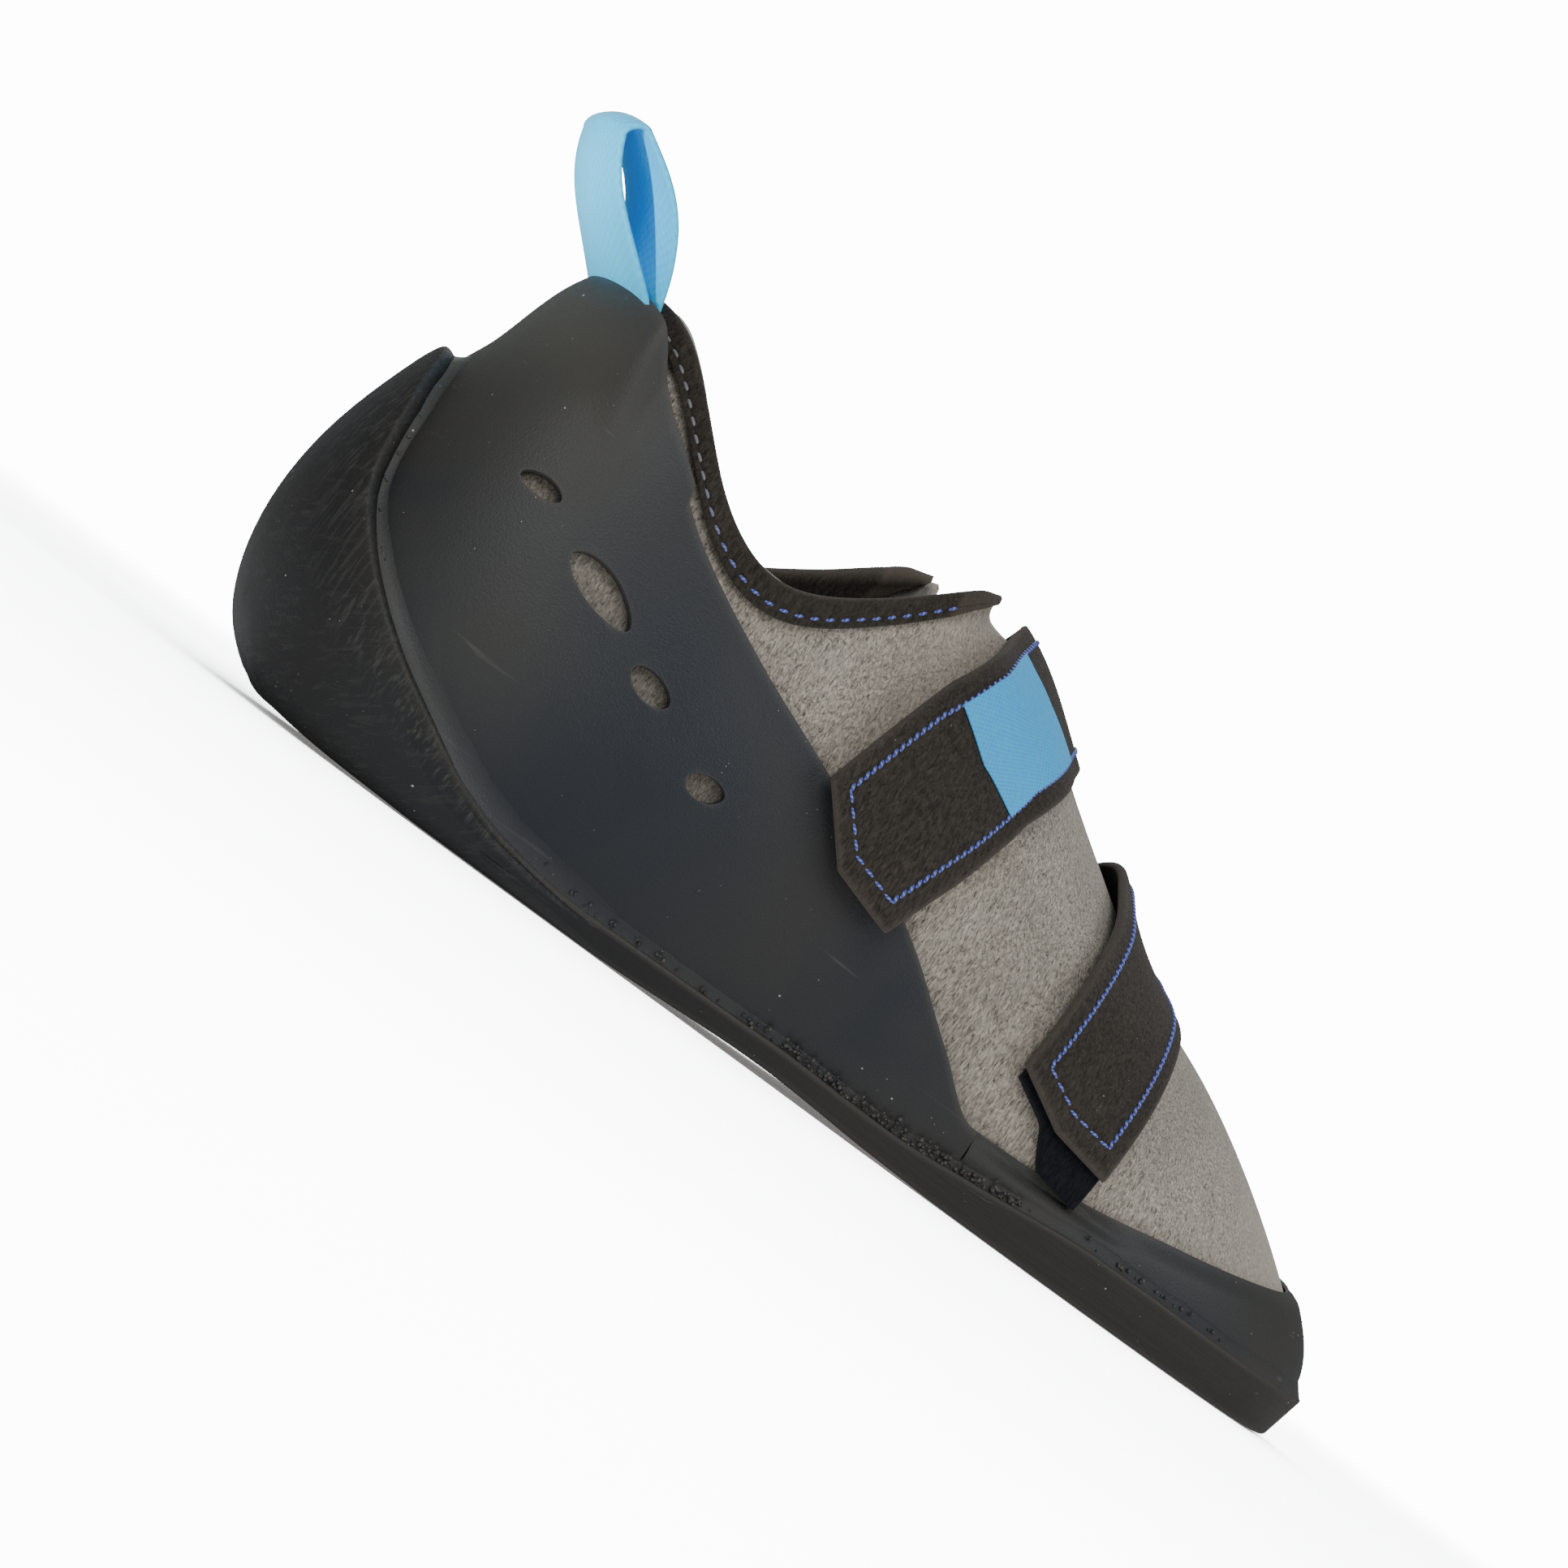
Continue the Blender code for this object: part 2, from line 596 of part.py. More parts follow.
def binding_low_rise(turn, skirt):
    """Rise that lies a skirt's width below the top edge, measured along the wall."""
    turn = np.atleast_1d(turn)
    steps = np.linspace(0, 1, 81)
    points = last(turn[:, None], steps[None, :])
    length = np.linalg.norm(np.diff(points, axis=1), axis=-1)
    left = np.concatenate([np.cumsum(length[:, ::-1], axis=1)[:, ::-1], np.zeros((len(turn), 1))], 1)
    return np.array([np.interp(-skirt, -row, steps) for row in left])


def add_binding(made_of):
    corner = corner_turn()
    turns = turns_between(-corner, corner)
    inner_wall = UPPER_WALL + BINDING_GAP
    thick = BINDING_THICKNESS
    one = np.ones(turns.shape)
    low = binding_low_rise(turns, BINDING_OUTER_SKIRT)
    half = (low + 1) / 2
    deep = binding_low_rise(turns, BINDING_INNER_SKIRT)
    up = unit(last(turns, one) - last(turns, one - 0.02))
    edge = skin(turns, one, -UPPER_WALL / 2 * one)
    away = outward(turns, one)
    reach = UPPER_WALL / 2 + BINDING_GAP
    ring = [
        skin(turns, low, BINDING_GAP * one),
        skin(turns, low, (BINDING_GAP + thick) * one),
        skin(turns, half, (BINDING_GAP + thick) * one),
        skin(turns, one, (BINDING_GAP + thick) * one),
        edge + away * (0.55 * (reach + thick)) + up * (BINDING_GAP + thick),
        edge - away * (0.55 * (reach + thick)) + up * (BINDING_GAP + thick),
        skin(turns, one, -(inner_wall + thick) * one),
        skin(turns, deep, -(inner_wall + thick) * one),
        skin(turns, deep, -inner_wall * one),
        edge - away * reach + up * BINDING_GAP,
        edge + away * reach + up * BINDING_GAP,
        skin(turns, half, BINDING_GAP * one),
    ]
    return add_tube("collar_binding", np.stack(ring, 1), made_of, False)


def across_ridge(turn, reach, sides):
    """Grid over the ridge: for each turn, points from the outer side over the top to the inner side."""
    outer = np.where(sides <= 0, turn, 1 - turn)
    rise = 1 - (1 - reach) * np.abs(sides)
    return outer, rise


def add_tongue(made_of):
    turns = turns_between(ridge_turn(TONGUE_RANGE[0]), ridge_turn(TONGUE_RANGE[1]))
    sides = np.linspace(-1, 1, 9)
    width = throat_half_width(turns) + TONGUE_OVERLAP
    steps = np.linspace(0.3, 1, 141)
    points = last(turns[:, None], steps[None, :])
    away = np.minimum.accumulate(np.abs(points[..., 1] - ridge_line(turns)[:, None, 1]), axis=1)
    reach = np.array([np.interp(-w, -row, steps) for w, row in zip(width, away)])
    turn_grid, rise_grid = across_ridge(turns[:, None], reach[:, None], sides[None, :])
    top = -(UPPER_WALL + TONGUE_CLEARANCE)
    outer = skin(turn_grid, rise_grid, np.full(rise_grid.shape, top))
    inner = skin(turn_grid, rise_grid, np.full(rise_grid.shape, top - TONGUE_THICKNESS))
    back = unit(outer[0] - outer[1]) * TONGUE_TAB * (1 - 0.35 * sides ** 2)[:, None]
    outer = np.concatenate([outer[:1] + back, outer])
    inner = np.concatenate([inner[:1] + back, inner])
    return add_sheet("tongue", outer, inner, made_of)


def meet_last(start, direction):
    """Turn and rise where lines from inside the foot meet the last."""
    turns, rises = np.meshgrid(np.linspace(0.12, 0.88, 96), np.linspace(0.1, 1, 31), indexing="ij")
    turns = turns.ravel()
    rises = rises.ravel()
    samples = last(turns, rises)
    flat_start = start.reshape(-1, 3)
    flat_direction = direction.reshape(-1, 3)
    best = []
    for origin, ray in zip(flat_start, flat_direction):
        best.append(int(np.argmax(unit(samples - origin) @ ray)))
    turn = turns[best]
    rise = rises[best]
    far = np.linalg.norm(samples[best] - flat_start, axis=1)
    for _ in range(8):
        miss = last(turn, rise) - flat_start - flat_direction * far[:, None]
        by_turn = (last(turn + 1e-4, rise) - last(turn - 1e-4, rise)) / 2e-4
        by_rise = (last(turn, rise + 1e-3) - last(turn, rise - 1e-3)) / 2e-3
        matrix = np.stack([by_turn, by_rise, -flat_direction], -1)
        step = np.linalg.solve(matrix, -miss[..., None])[..., 0]
        turn = turn + np.clip(step[:, 0], -0.02, 0.02)
        rise = rise + np.clip(step[:, 1], -0.1, 0.1)
        far = far + step[:, 2]
        over = (rise > 1) & (np.abs(half_opening(turn)) < 1e-7)
        turn = np.where(over, 1 - turn, turn)
        rise = np.where(over, 2 - rise, rise)
    shape = start.shape[:-1]
    return turn.reshape(shape), rise.reshape(shape)


def strap_places(name, u, v):
    """Turn and rise under a strap: u runs from the outer end (-1) over the ridge to the inner end (1)."""
    row = dict(zip(STRAP_COLUMNS, STRAPS[name]))
    u, v = np.broadcast_arrays(u, v)
    axis = unit(np.array([1, -math.tan(math.radians(row["yaw"])), -math.tan(math.radians(row["pitch"]))]))
    outer = np.array([0.0, -1.0, 0.0])
    outer = unit(outer - axis * (outer @ axis))
    up = np.cross(outer, axis)
    up = up if up[2] > 0 else -up
    end = np.interp(v, [-1, 0, 1], [row["end_back"], row["end_middle"], row["end_front"]])
    angle = np.radians(np.where(u < 0, -u * end, -u * row["inner_end"]))
    centre = np.array([row["along"] * LAST_LENGTH, row["aside"] * MM, row["height"] * MM])
    start = centre + axis * (v * row["width"] * MM / 2)[..., None]
    direction = up * np.cos(angle)[..., None] + outer * np.sin(angle)[..., None]
    return meet_last(start, direction)


def strap_lift(name, u):
    lift = STRAPS[name][STRAP_COLUMNS.index("lift")] * MM
    return STRAP_REST + (lift - STRAP_REST) * blend(0.22, 0.55, -u)


def strap_grid(name, u, v, extra):
    """Points a given height above the underside of a strap."""
    turn, rise = strap_places(name, u[:, None], v[None, :])
    lift = np.broadcast_to(strap_lift(name, u)[:, None] + extra, rise.shape)
    return skin(turn, rise, lift)


def add_strap(name, made_of):
    u = np.linspace(-1, 1, 21)
    v = np.linspace(-1, 1, 5)
    outer = strap_grid(name, u, v, STRAP_THICKNESS)
    inner = strap_grid(name, u, v, 0)
    return add_sheet(name, outer, inner, made_of)


def add_pad(name, strap, made_of):
    u = -np.linspace(PAD_SPAN[0], PAD_SPAN[1], 6)
    v = np.linspace(-PAD_WIDTH_SHARE, PAD_WIDTH_SHARE, 5)
    turn, rise = strap_places(strap, u[:, None], v[None, :])
    rest = np.full(rise.shape, PAD_REST[strap])
    outer = strap_grid(strap, u, v, -PAD_CLEARANCE)
    inner = skin(turn, rise, rest)
    return add_sheet(name, outer, inner, made_of)


def add_tag(made_of):
    u = -np.linspace(TAG_SPAN[0], TAG_SPAN[1], 9)
    v = np.linspace(-TAG_WIDTH_SHARE, TAG_WIDTH_SHARE, 5)
    outer = strap_grid("strap_upper", u, v, STRAP_THICKNESS + GAP + TAG_THICKNESS)
    inner = strap_grid("strap_upper", u, v, STRAP_THICKNESS + GAP)
    return add_sheet("strap_tag", outer, inner, made_of)


def loop_path(v):
    """Middle line of the webbing at a place across its width, from the outer leg round to the inner."""
    turn = LOOP_MIDDLE_TURN - v * LOOP_FOOT_TURN
    low = float(binding_low_rise(turn, 4.5 * MM)[0])
    clear = BINDING_GAP + BINDING_THICKNESS + GAP + LOOP_THICKNESS / 2
    outer_foot = skin(turn, low, np.array(clear + LOOP_THICKNESS + GAP))
    inner_foot = skin(turn, low, np.array(clear))
    brim = skin(turn, 1.0, np.array(clear))
    back = np.array([-LOOP_BACK, 0, LOOP_UP])
    tip = np.array([brim[0], 0, brim[2]]) * 0.6 + ridge_line(np.array(0.0)) * 0.4 + back
    tip[1] = LOOP_ASIDE + v * LOOP_WIDTH / 2
    s = np.linspace(0, 1, 9)[:, None]
    lift = unit(np.array([LOOP_UP, 0, LOOP_BACK])) * LOOP_OPENING / 2

    def leg(foot, side):
        bow = foot + (tip - foot) * 0.35 + np.array([0, 0, 5 * MM]) + lift * side
        mid = foot + (tip - foot) * 0.72 + lift * side
        return ((1 - s) ** 3 * foot + 3 * s * (1 - s) ** 2 * bow + 3 * s ** 2 * (1 - s) * mid
                + s ** 3 * (tip + lift * side * 0.55))

    return np.concatenate([leg(outer_foot, -1), leg(inner_foot, 1)[::-1]])


def add_pull_loop(made_of):
    lines = np.stack([loop_path(v) for v in np.linspace(-1, 1, 5)])
    along = np.gradient(lines, axis=1)
    side = np.array([0, 1, 0])
    face = unit(np.cross(side, along))
    outer = lines + face * LOOP_THICKNESS / 2
    inner = lines - face * LOOP_THICKNESS / 2
    return add_sheet("pull_loop", outer.transpose(1, 0, 2), inner.transpose(1, 0, 2), made_of)


def clear_scene():
    for thing in list(bpy.data.objects):
        bpy.data.objects.remove(thing, do_unlink=True)


def centre_on_floor(things):
    """Puts the origin under the middle of the shoe, on the ground."""
    corners = np.array([vertex.co for thing in things for vertex in thing.data.vertices])
    low = corners.min(axis=0)
    high = corners.max(axis=0)
    move = Vector((-(low[0] + high[0]) / 2, -(low[1] + high[1]) / 2, -low[2]))
    return Matrix.Translation(move)


def build():
    clear_scene()
    sole_rubber = material("sole_rubber", (0.018, 0.019, 0.021), 0.6)
    heel_rubber = material("heel_rand_rubber", (0.030, 0.031, 0.034), 0.5)
    toe_rubber = material("toe_rand_rubber", (0.028, 0.028, 0.030), 0.5)
    add_outsole(sole_rubber)
    add_insole(material("insole_board", (0.32, 0.29, 0.25), 0.9))
    add_upper(material("suede", (0.235, 0.215, 0.185), 0.95))
    cutters = add_rands(heel_rubber, toe_rubber)
    add_binding(material("binding_suede", (0.020, 0.016, 0.014), 0.9))
    add_tongue(material("tongue_fabric", (0.025, 0.022, 0.020), 0.95))
    add_strap("strap_upper", material("upper_strap_suede", (0.021, 0.017, 0.015), 0.9))
    add_strap("strap_front", material("front_strap_suede", (0.021, 0.017, 0.015), 0.9))
    add_pad("strap_pad_upper", "strap_upper", material("upper_pad_fabric", (0.012, 0.011, 0.011), 0.95))
    add_pad("strap_pad_front", "strap_front", material("front_pad_fabric", (0.012, 0.011, 0.011), 0.95))
    add_tag(material("tag_fabric", (0.115, 0.402, 0.791), 0.7))
    add_pull_loop(material("loop_webbing", (0.32, 0.66, 1.0), 0.75))
    things = [thing for thing in bpy.data.objects if thing not in cutters]
    move = centre_on_floor(things)
    for thing in list(bpy.data.objects):
        thing.data.transform(move)


build()
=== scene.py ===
# %% [markdown]
# # A climbing shoe for the right foot
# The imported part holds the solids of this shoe: sole, upper, rubber rands, straps and heel loop.
# This lesson dresses them.  Every piece is worked out again on a finer grid from the same last, the
# wooden form that a shoemaker pulls the leather over, and then gets its own finish.
# All sizes are in metres, with the toe along +X, the outer side of the foot on -Y and +Z up.

# %% Load the frame
import math

import bpy
import numpy as np
from mathutils import Matrix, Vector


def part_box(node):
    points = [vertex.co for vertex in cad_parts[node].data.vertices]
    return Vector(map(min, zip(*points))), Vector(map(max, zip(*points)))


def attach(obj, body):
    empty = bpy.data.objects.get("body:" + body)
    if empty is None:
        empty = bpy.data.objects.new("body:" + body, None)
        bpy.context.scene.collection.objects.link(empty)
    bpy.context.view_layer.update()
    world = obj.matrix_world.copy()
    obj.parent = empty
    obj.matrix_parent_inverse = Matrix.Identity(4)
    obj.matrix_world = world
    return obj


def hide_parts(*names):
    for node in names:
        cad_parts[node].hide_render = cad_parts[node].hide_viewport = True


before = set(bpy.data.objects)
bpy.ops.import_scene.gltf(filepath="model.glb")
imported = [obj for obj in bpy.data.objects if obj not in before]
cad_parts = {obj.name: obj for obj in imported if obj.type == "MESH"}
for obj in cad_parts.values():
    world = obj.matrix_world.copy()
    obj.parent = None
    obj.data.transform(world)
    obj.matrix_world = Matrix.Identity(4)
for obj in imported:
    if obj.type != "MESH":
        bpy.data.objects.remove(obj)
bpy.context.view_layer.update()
MM = 0.001

# %% [markdown]
# ## Small tools for numbers
# A soft step, a bell, a unit vector and the length of a path turn up everywhere below, so they come first.

# %% Steps, bells, vectors and paths


def unit(vectors):
    """Vectors divided by their own length."""
    vectors = np.asarray(vectors, float)
    return vectors / np.linalg.norm(vectors, axis=-1, keepdims=True)


def blend(low, high, value):
    """0 below low, 1 above high, and 3s^2 - 2s^3 between."""
    s = np.clip((np.asarray(value, float) - low) / (high - low), 0, 1)
    return s * s * (3 - 2 * s)


def bell(value, middle, width):
    """1 at the middle, falling away on both sides as exp(-(distance / width)^2)."""
    return np.exp(-((np.asarray(value, float) - middle) / width) ** 2)


def run_along(path):
    """Distance from the start of a path to each of its points."""
    return np.concatenate([[0], np.cumsum(np.linalg.norm(np.diff(path, axis=0), axis=-1))])


# %% [markdown]
# ## Camera
# The photograph looks at the outer side, a little from behind, with the toe pointing down to the right.
# A standing shoe can only be seen from floor level upwards, so the camera keeps the direction and the
# tilt of the picture and stops just above the floor.  A long lens keeps heel and toe in proportion.

# %% Camera
LENS = 80.2
AIM = np.array([-0.0243, 0.0034, 0.0427])
AZIMUTH = math.radians(-18.9)
EYE_HEIGHT = 14 * MM
DISTANCE = 0.610
ROLL = math.radians(36.5)

eye = AIM + np.array([math.sin(AZIMUTH), -math.cos(AZIMUTH), 0]) * DISTANCE
eye[2] = EYE_HEIGHT
forward = unit(AIM - eye)
level = unit(np.cross(forward, (0, 0, 1)))
upright = np.cross(level, forward)
camera = bpy.data.objects.new("camera", bpy.data.cameras.new("camera"))
camera.data.lens = LENS
camera.data.sensor_width = 36
camera.data.clip_start = 0.01
axes = np.eye(4)
axes[:3, 0] = level * math.cos(ROLL) + upright * math.sin(ROLL)
axes[:3, 1] = upright * math.cos(ROLL) - level * math.sin(ROLL)
axes[:3, 2] = -forward
axes[:3, 3] = eye
camera.matrix_world = Matrix(axes.tolist())
bpy.context.scene.collection.objects.link(camera)
bpy.context.scene.camera = camera
print("camera at, mm:", np.round(eye / MM, 1))

# %% [markdown]
# ## A node helper
# Materials, floor and sky are all node trees.  One helper makes a node, sets its values and plugs in
# its links, so that each tree below reads as a short list.

# %% Node helper


def add_node(tree, kind, values=None, links=None, **settings):
    """One node: settings are its own options, values its unplugged inputs, links its plugged ones."""
    made = tree.nodes.new(kind)
    for name, value in settings.items():
        setattr(made, name, value)
    for socket, value in (values or {}).items():
        made.inputs[socket].default_value = value
    for socket, source in (links or {}).items():
        tree.links.new(source, made.inputs[socket])
    return made


def tint(red, green, blue):
    """A colour given as a screen shows it, 0 to 255, in the linear values that Blender mixes."""
    s = np.array([red, green, blue]) / 255
    return (*np.where(s < 0.04045, s / 12.92, ((s + 0.055) / 1.055) ** 2.4).tolist(), 1)


# %% [markdown]
# ## Floor and studio light
# A white sweep of paper under a few large soft boxes: the floor fades into the white sky, so no line
# shows behind the shoe.  Light passes up through the paper from below, and the paper isn't drawn from
# behind, so that a look at the sole from under the floor isn't black.  To the camera alone the paper is
# as bright as the sky, as in a picture that is exposed for a dark shoe.  The heel loop leans back, away
# from the boxes, so a narrow snoot from behind lights it.

# %% Floor
FLOOR_DROP = 0.2 * MM
FADE_FROM, FADE_TO = 0.22, 0.75
PAPER_WHITE, PAPER_SEEN = 0.85, 12

floor_mesh = bpy.data.meshes.new("floor")
floor_mesh.from_pydata([(-3, -3, 0), (3, -3, 0), (3, 3, 0), (-3, 3, 0)], [], [(0, 1, 2, 3)])
floor = bpy.data.objects.new("floor", floor_mesh)
floor.location.z = -FLOOR_DROP
floor.visible_shadow = False
bpy.context.scene.collection.objects.link(floor)

paper = bpy.data.materials.new("floor_paper")
paper.use_nodes = True
tree = paper.node_tree
tree.nodes.clear()
place = add_node(tree, "ShaderNodeTexCoord")
away = add_node(tree, "ShaderNodeVectorMath", links={0: place.outputs["Object"]}, operation="LENGTH")
fade = add_node(tree, "ShaderNodeMapRange", {1: FADE_FROM, 2: FADE_TO, 3: 0, 4: 1},
                {0: away.outputs["Value"]}, interpolation_type="SMOOTHSTEP")
facing = add_node(tree, "ShaderNodeNewGeometry")
rays = add_node(tree, "ShaderNodeLightPath")
hidden = add_node(tree, "ShaderNodeMath", links={0: fade.outputs[0], 1: facing.outputs["Backfacing"]},
                  operation="MAXIMUM")
dim = add_node(tree, "ShaderNodeBsdfDiffuse", {"Color": (PAPER_WHITE, PAPER_WHITE, PAPER_WHITE, 1)})
bright = add_node(tree, "ShaderNodeBsdfDiffuse", {"Color": (PAPER_SEEN, PAPER_SEEN, PAPER_SEEN, 1)})
matte = add_node(tree, "ShaderNodeMixShader",
                 links={0: rays.outputs["Is Camera Ray"], 1: dim.outputs[0], 2: bright.outputs[0]})
gone = add_node(tree, "ShaderNodeBsdfTransparent")
mix = add_node(tree, "ShaderNodeMixShader",
               links={0: hidden.outputs[0], 1: matte.outputs[0], 2: gone.outputs[0]})
add_node(tree, "ShaderNodeOutputMaterial", links={"Surface": mix.outputs[0]})
floor_mesh.materials.append(paper)

# %% Sky and soft boxes
# position, power and size of each box; all of them face the middle of the shoe
SOFT_BOXES = {
    "key": ((-0.35, -1.00, 1.05), 8.0, 0.9),
    "front": ((0.75, -0.85, 0.55), 3.6, 0.7),
    "back": ((0.10, 1.05, 0.95), 4.6, 0.9),
    "under": ((-0.10, -0.55, -0.75), 3.8, 0.9),
}
SHOE_MIDDLE = (0, 0, 0.04)
SNOOT_AT, SNOOT_AIM = (-0.50, -0.34, -0.06), (-0.1175, -0.005, 0.1015)
SNOOT_POWER, SNOOT_DEGREES = 26.0, 5.0
SKY_SEEN, SKY_GLOW = 14.0, 0.27


def add_light(name, kind, power, spot, aim, **settings):
    """A light that stands on its spot and looks along its own -Z at the aim; settings are its own options."""
    towards = unit(np.array(aim) - np.array(spot))
    side = unit(np.cross(towards, (0, 0, 1)))
    placing = np.eye(4)
    placing[:3] = np.stack([side, np.cross(side, towards), -towards, spot], 1)
    light = bpy.data.objects.new(name, bpy.data.lights.new(name, kind))
    light.data.energy = power
    for label, value in settings.items():
        setattr(light.data, label, value)
    light.matrix_world = Matrix(placing.tolist())
    bpy.context.scene.collection.objects.link(light)


for name, (spot, power, size) in SOFT_BOXES.items():
    add_light(name, "AREA", power, spot, SHOE_MIDDLE, size=size)
add_light("snoot", "SPOT", SNOOT_POWER, SNOOT_AT, SNOOT_AIM, spot_size=math.radians(SNOOT_DEGREES),
          spot_blend=0.6, shadow_soft_size=0.02)

world = bpy.data.worlds.new("studio")
bpy.context.scene.world = world
world.use_nodes = True
tree = world.node_tree
tree.nodes.clear()
rays = add_node(tree, "ShaderNodeLightPath")
seen = add_node(tree, "ShaderNodeBackground", {"Color": (1, 1, 1, 1), "Strength": SKY_SEEN})
glow = add_node(tree, "ShaderNodeBackground", {"Color": (0.92, 0.96, 1, 1), "Strength": SKY_GLOW})
mix = add_node(tree, "ShaderNodeMixShader",
               links={0: rays.outputs["Is Camera Ray"], 1: glow.outputs[0], 2: seen.outputs[0]})
add_node(tree, "ShaderNodeOutputWorld", links={"Surface": mix.outputs[0]})
print("soft boxes:", ", ".join(SOFT_BOXES))

# %% [markdown]
# ## The last
# A shoe is built on a last, and this one is a single function: a point is named by its turn (0 at the
# back of the heel, 0.25 along the outer side, 0.5 at the toe, 0.75 along the inner side) and its rise
# (0 at the sole, 1 at the collar or on the ridge of the instep).  The numbers are those of the solids,
# so a piece that is cut from this surface lies exactly where its solid is.

# %% Curves round a loop


def loop_values(outer_side, inner_side):
    """Values once round the last: out along the outer side, back along the inner side."""
    return np.concatenate([outer_side, inner_side[-2:0:-1]])


def spans(knots, at):
    """The knot before each place on the loop, the one after it, the span and the distance into it."""
    step = np.diff(np.append(knots, knots[0] + 1))
    at = np.mod(at, 1)
    i = np.clip(np.searchsorted(knots, at, side="right") - 1, 0, len(knots) - 1)
    return i, (i + 1) % len(knots), step, at - knots[i]


def smooth_loop(knots, values, at):
    """Cubic spline with even curvature through values on a loop of length 1."""
    i, j, step, s = spans(knots, at)
    before = np.roll(step, 1)
    slope = (np.roll(values, -1) - values) / step
    eye_matrix = np.eye(len(knots))
    matrix = ((2 * (before + step))[:, None] * eye_matrix + step[:, None] * np.roll(eye_matrix, 1, 1)
              + before[:, None] * np.roll(eye_matrix, -1, 1))
    bend = np.linalg.solve(matrix, 6 * (slope - np.roll(slope, 1)))
    h = step[i]
    first = slope[i] - h * (2 * bend[i] + bend[j]) / 6
    return values[i] + s * first + s ** 2 * bend[i] / 2 + s ** 3 * (bend[j] - bend[i]) / (6 * h)


def steady_loop(knots, values, at):
    """Cubic curve on a loop that never swings past its own values."""
    i, j, step, s = spans(knots, at)
    after = (np.roll(values, -1) - values) / step
    before = np.roll(after, 1)
    near = 2 * step + np.roll(step, 1)
    far = step + 2 * np.roll(step, 1)
    same = before * after > 0
    shared = near / np.where(same, before, 1) + far / np.where(same, after, 1)
    tangent = np.where(same, (near + far) / np.where(same, shared, 1), 0)
    h = step[i]
    s = s / h
    return ((1 + 2 * s) * (1 - s) ** 2 * values[i] + s * (1 - s) ** 2 * h * tangent[i]
            + s ** 2 * (3 - 2 * s) * values[j] + s ** 2 * (s - 1) * h * tangent[j])


# %% Sections of the last
LAST_LENGTH = 244 * MM
BALL_WIDTH = 90 * MM
INSTEP_HEIGHT = 90 * MM
GAP = 0.3 * MM
UPPER_WALL = 2.0 * MM
RAND_GAP = 0.4 * MM
RAND_THICKNESS = 1.8 * MM
RAND_EDGE = 0.25 * MM
OUTER_RAND = RAND_GAP + RAND_THICKNESS
SOLE_THICKNESS = 4.5 * MM

# along, top_along: shares of the length; outer, inner, opening, ridge: shares of the ball width;
# lean_out, lean_in, top_lean: degrees; height: share of the instep; low_pull, high_pull: fullness
SECTION_COLUMNS = ("along", "outer", "inner", "lean_out", "lean_in", "top_along", "opening", "ridge",
                   "height", "top_lean", "low_pull", "high_pull")
SECTIONS = np.array([
    (0.052, 0.000, 0.000, 60, 60, 0.086, 0.000, 0.000, 1.015, 33, 0.26, 0.57),
    (0.069, 0.155, 0.165, 60, 60, 0.093, 0.110, 0.000, 1.015, 29, 0.27, 0.54),
    (0.122, 0.250, 0.265, 53, 53, 0.122, 0.207, 0.000, 0.975, 18, 0.32, 0.46),
    (0.200, 0.290, 0.300, 42, 44, 0.178, 0.292, 0.000, 0.820, 10, 0.34, 0.39),
    (0.290, 0.312, 0.280, 32, 44, 0.248, 0.325, 0.003, 0.725, 10, 0.34, 0.36),
    (0.385, 0.338, 0.232, 24, 46, 0.322, 0.280, 0.008, 0.812, 18, 0.34, 0.36),
    (0.465, 0.372, 0.240, 18, 44, 0.390, 0.190, 0.012, 0.945, 42, 0.34, 0.36),
    (0.535, 0.405, 0.310, 14, 36, 0.452, 0.000, 0.018, 0.980, 86, 0.36, 0.29),
    (0.605, 0.428, 0.400, 12, 26, 0.530, 0.000, 0.025, 0.855, 90, 0.35, 0.27),
    (0.680, 0.440, 0.490, 12, 18, 0.612, 0.000, 0.032, 0.718, 90, 0.35, 0.27),
    (0.755, 0.428, 0.530, 12, 14, 0.690, 0.000, 0.042, 0.602, 90, 0.36, 0.28),
    (0.825, 0.385, 0.515, 14, 14, 0.760, 0.000, 0.053, 0.535, 90, 0.38, 0.30),
    (0.895, 0.295, 0.460, 16, 16, 0.824, 0.000, 0.066, 0.452, 90, 0.39, 0.32),
    (0.958, 0.145, 0.365, 17, 17, 0.866, 0.000, 0.078, 0.378, 90, 0.39, 0.32),
    (0.994, -0.130, 0.130, 17, 17, 0.890, 0.000, 0.085, 0.325, 90, 0.39, 0.32),
])

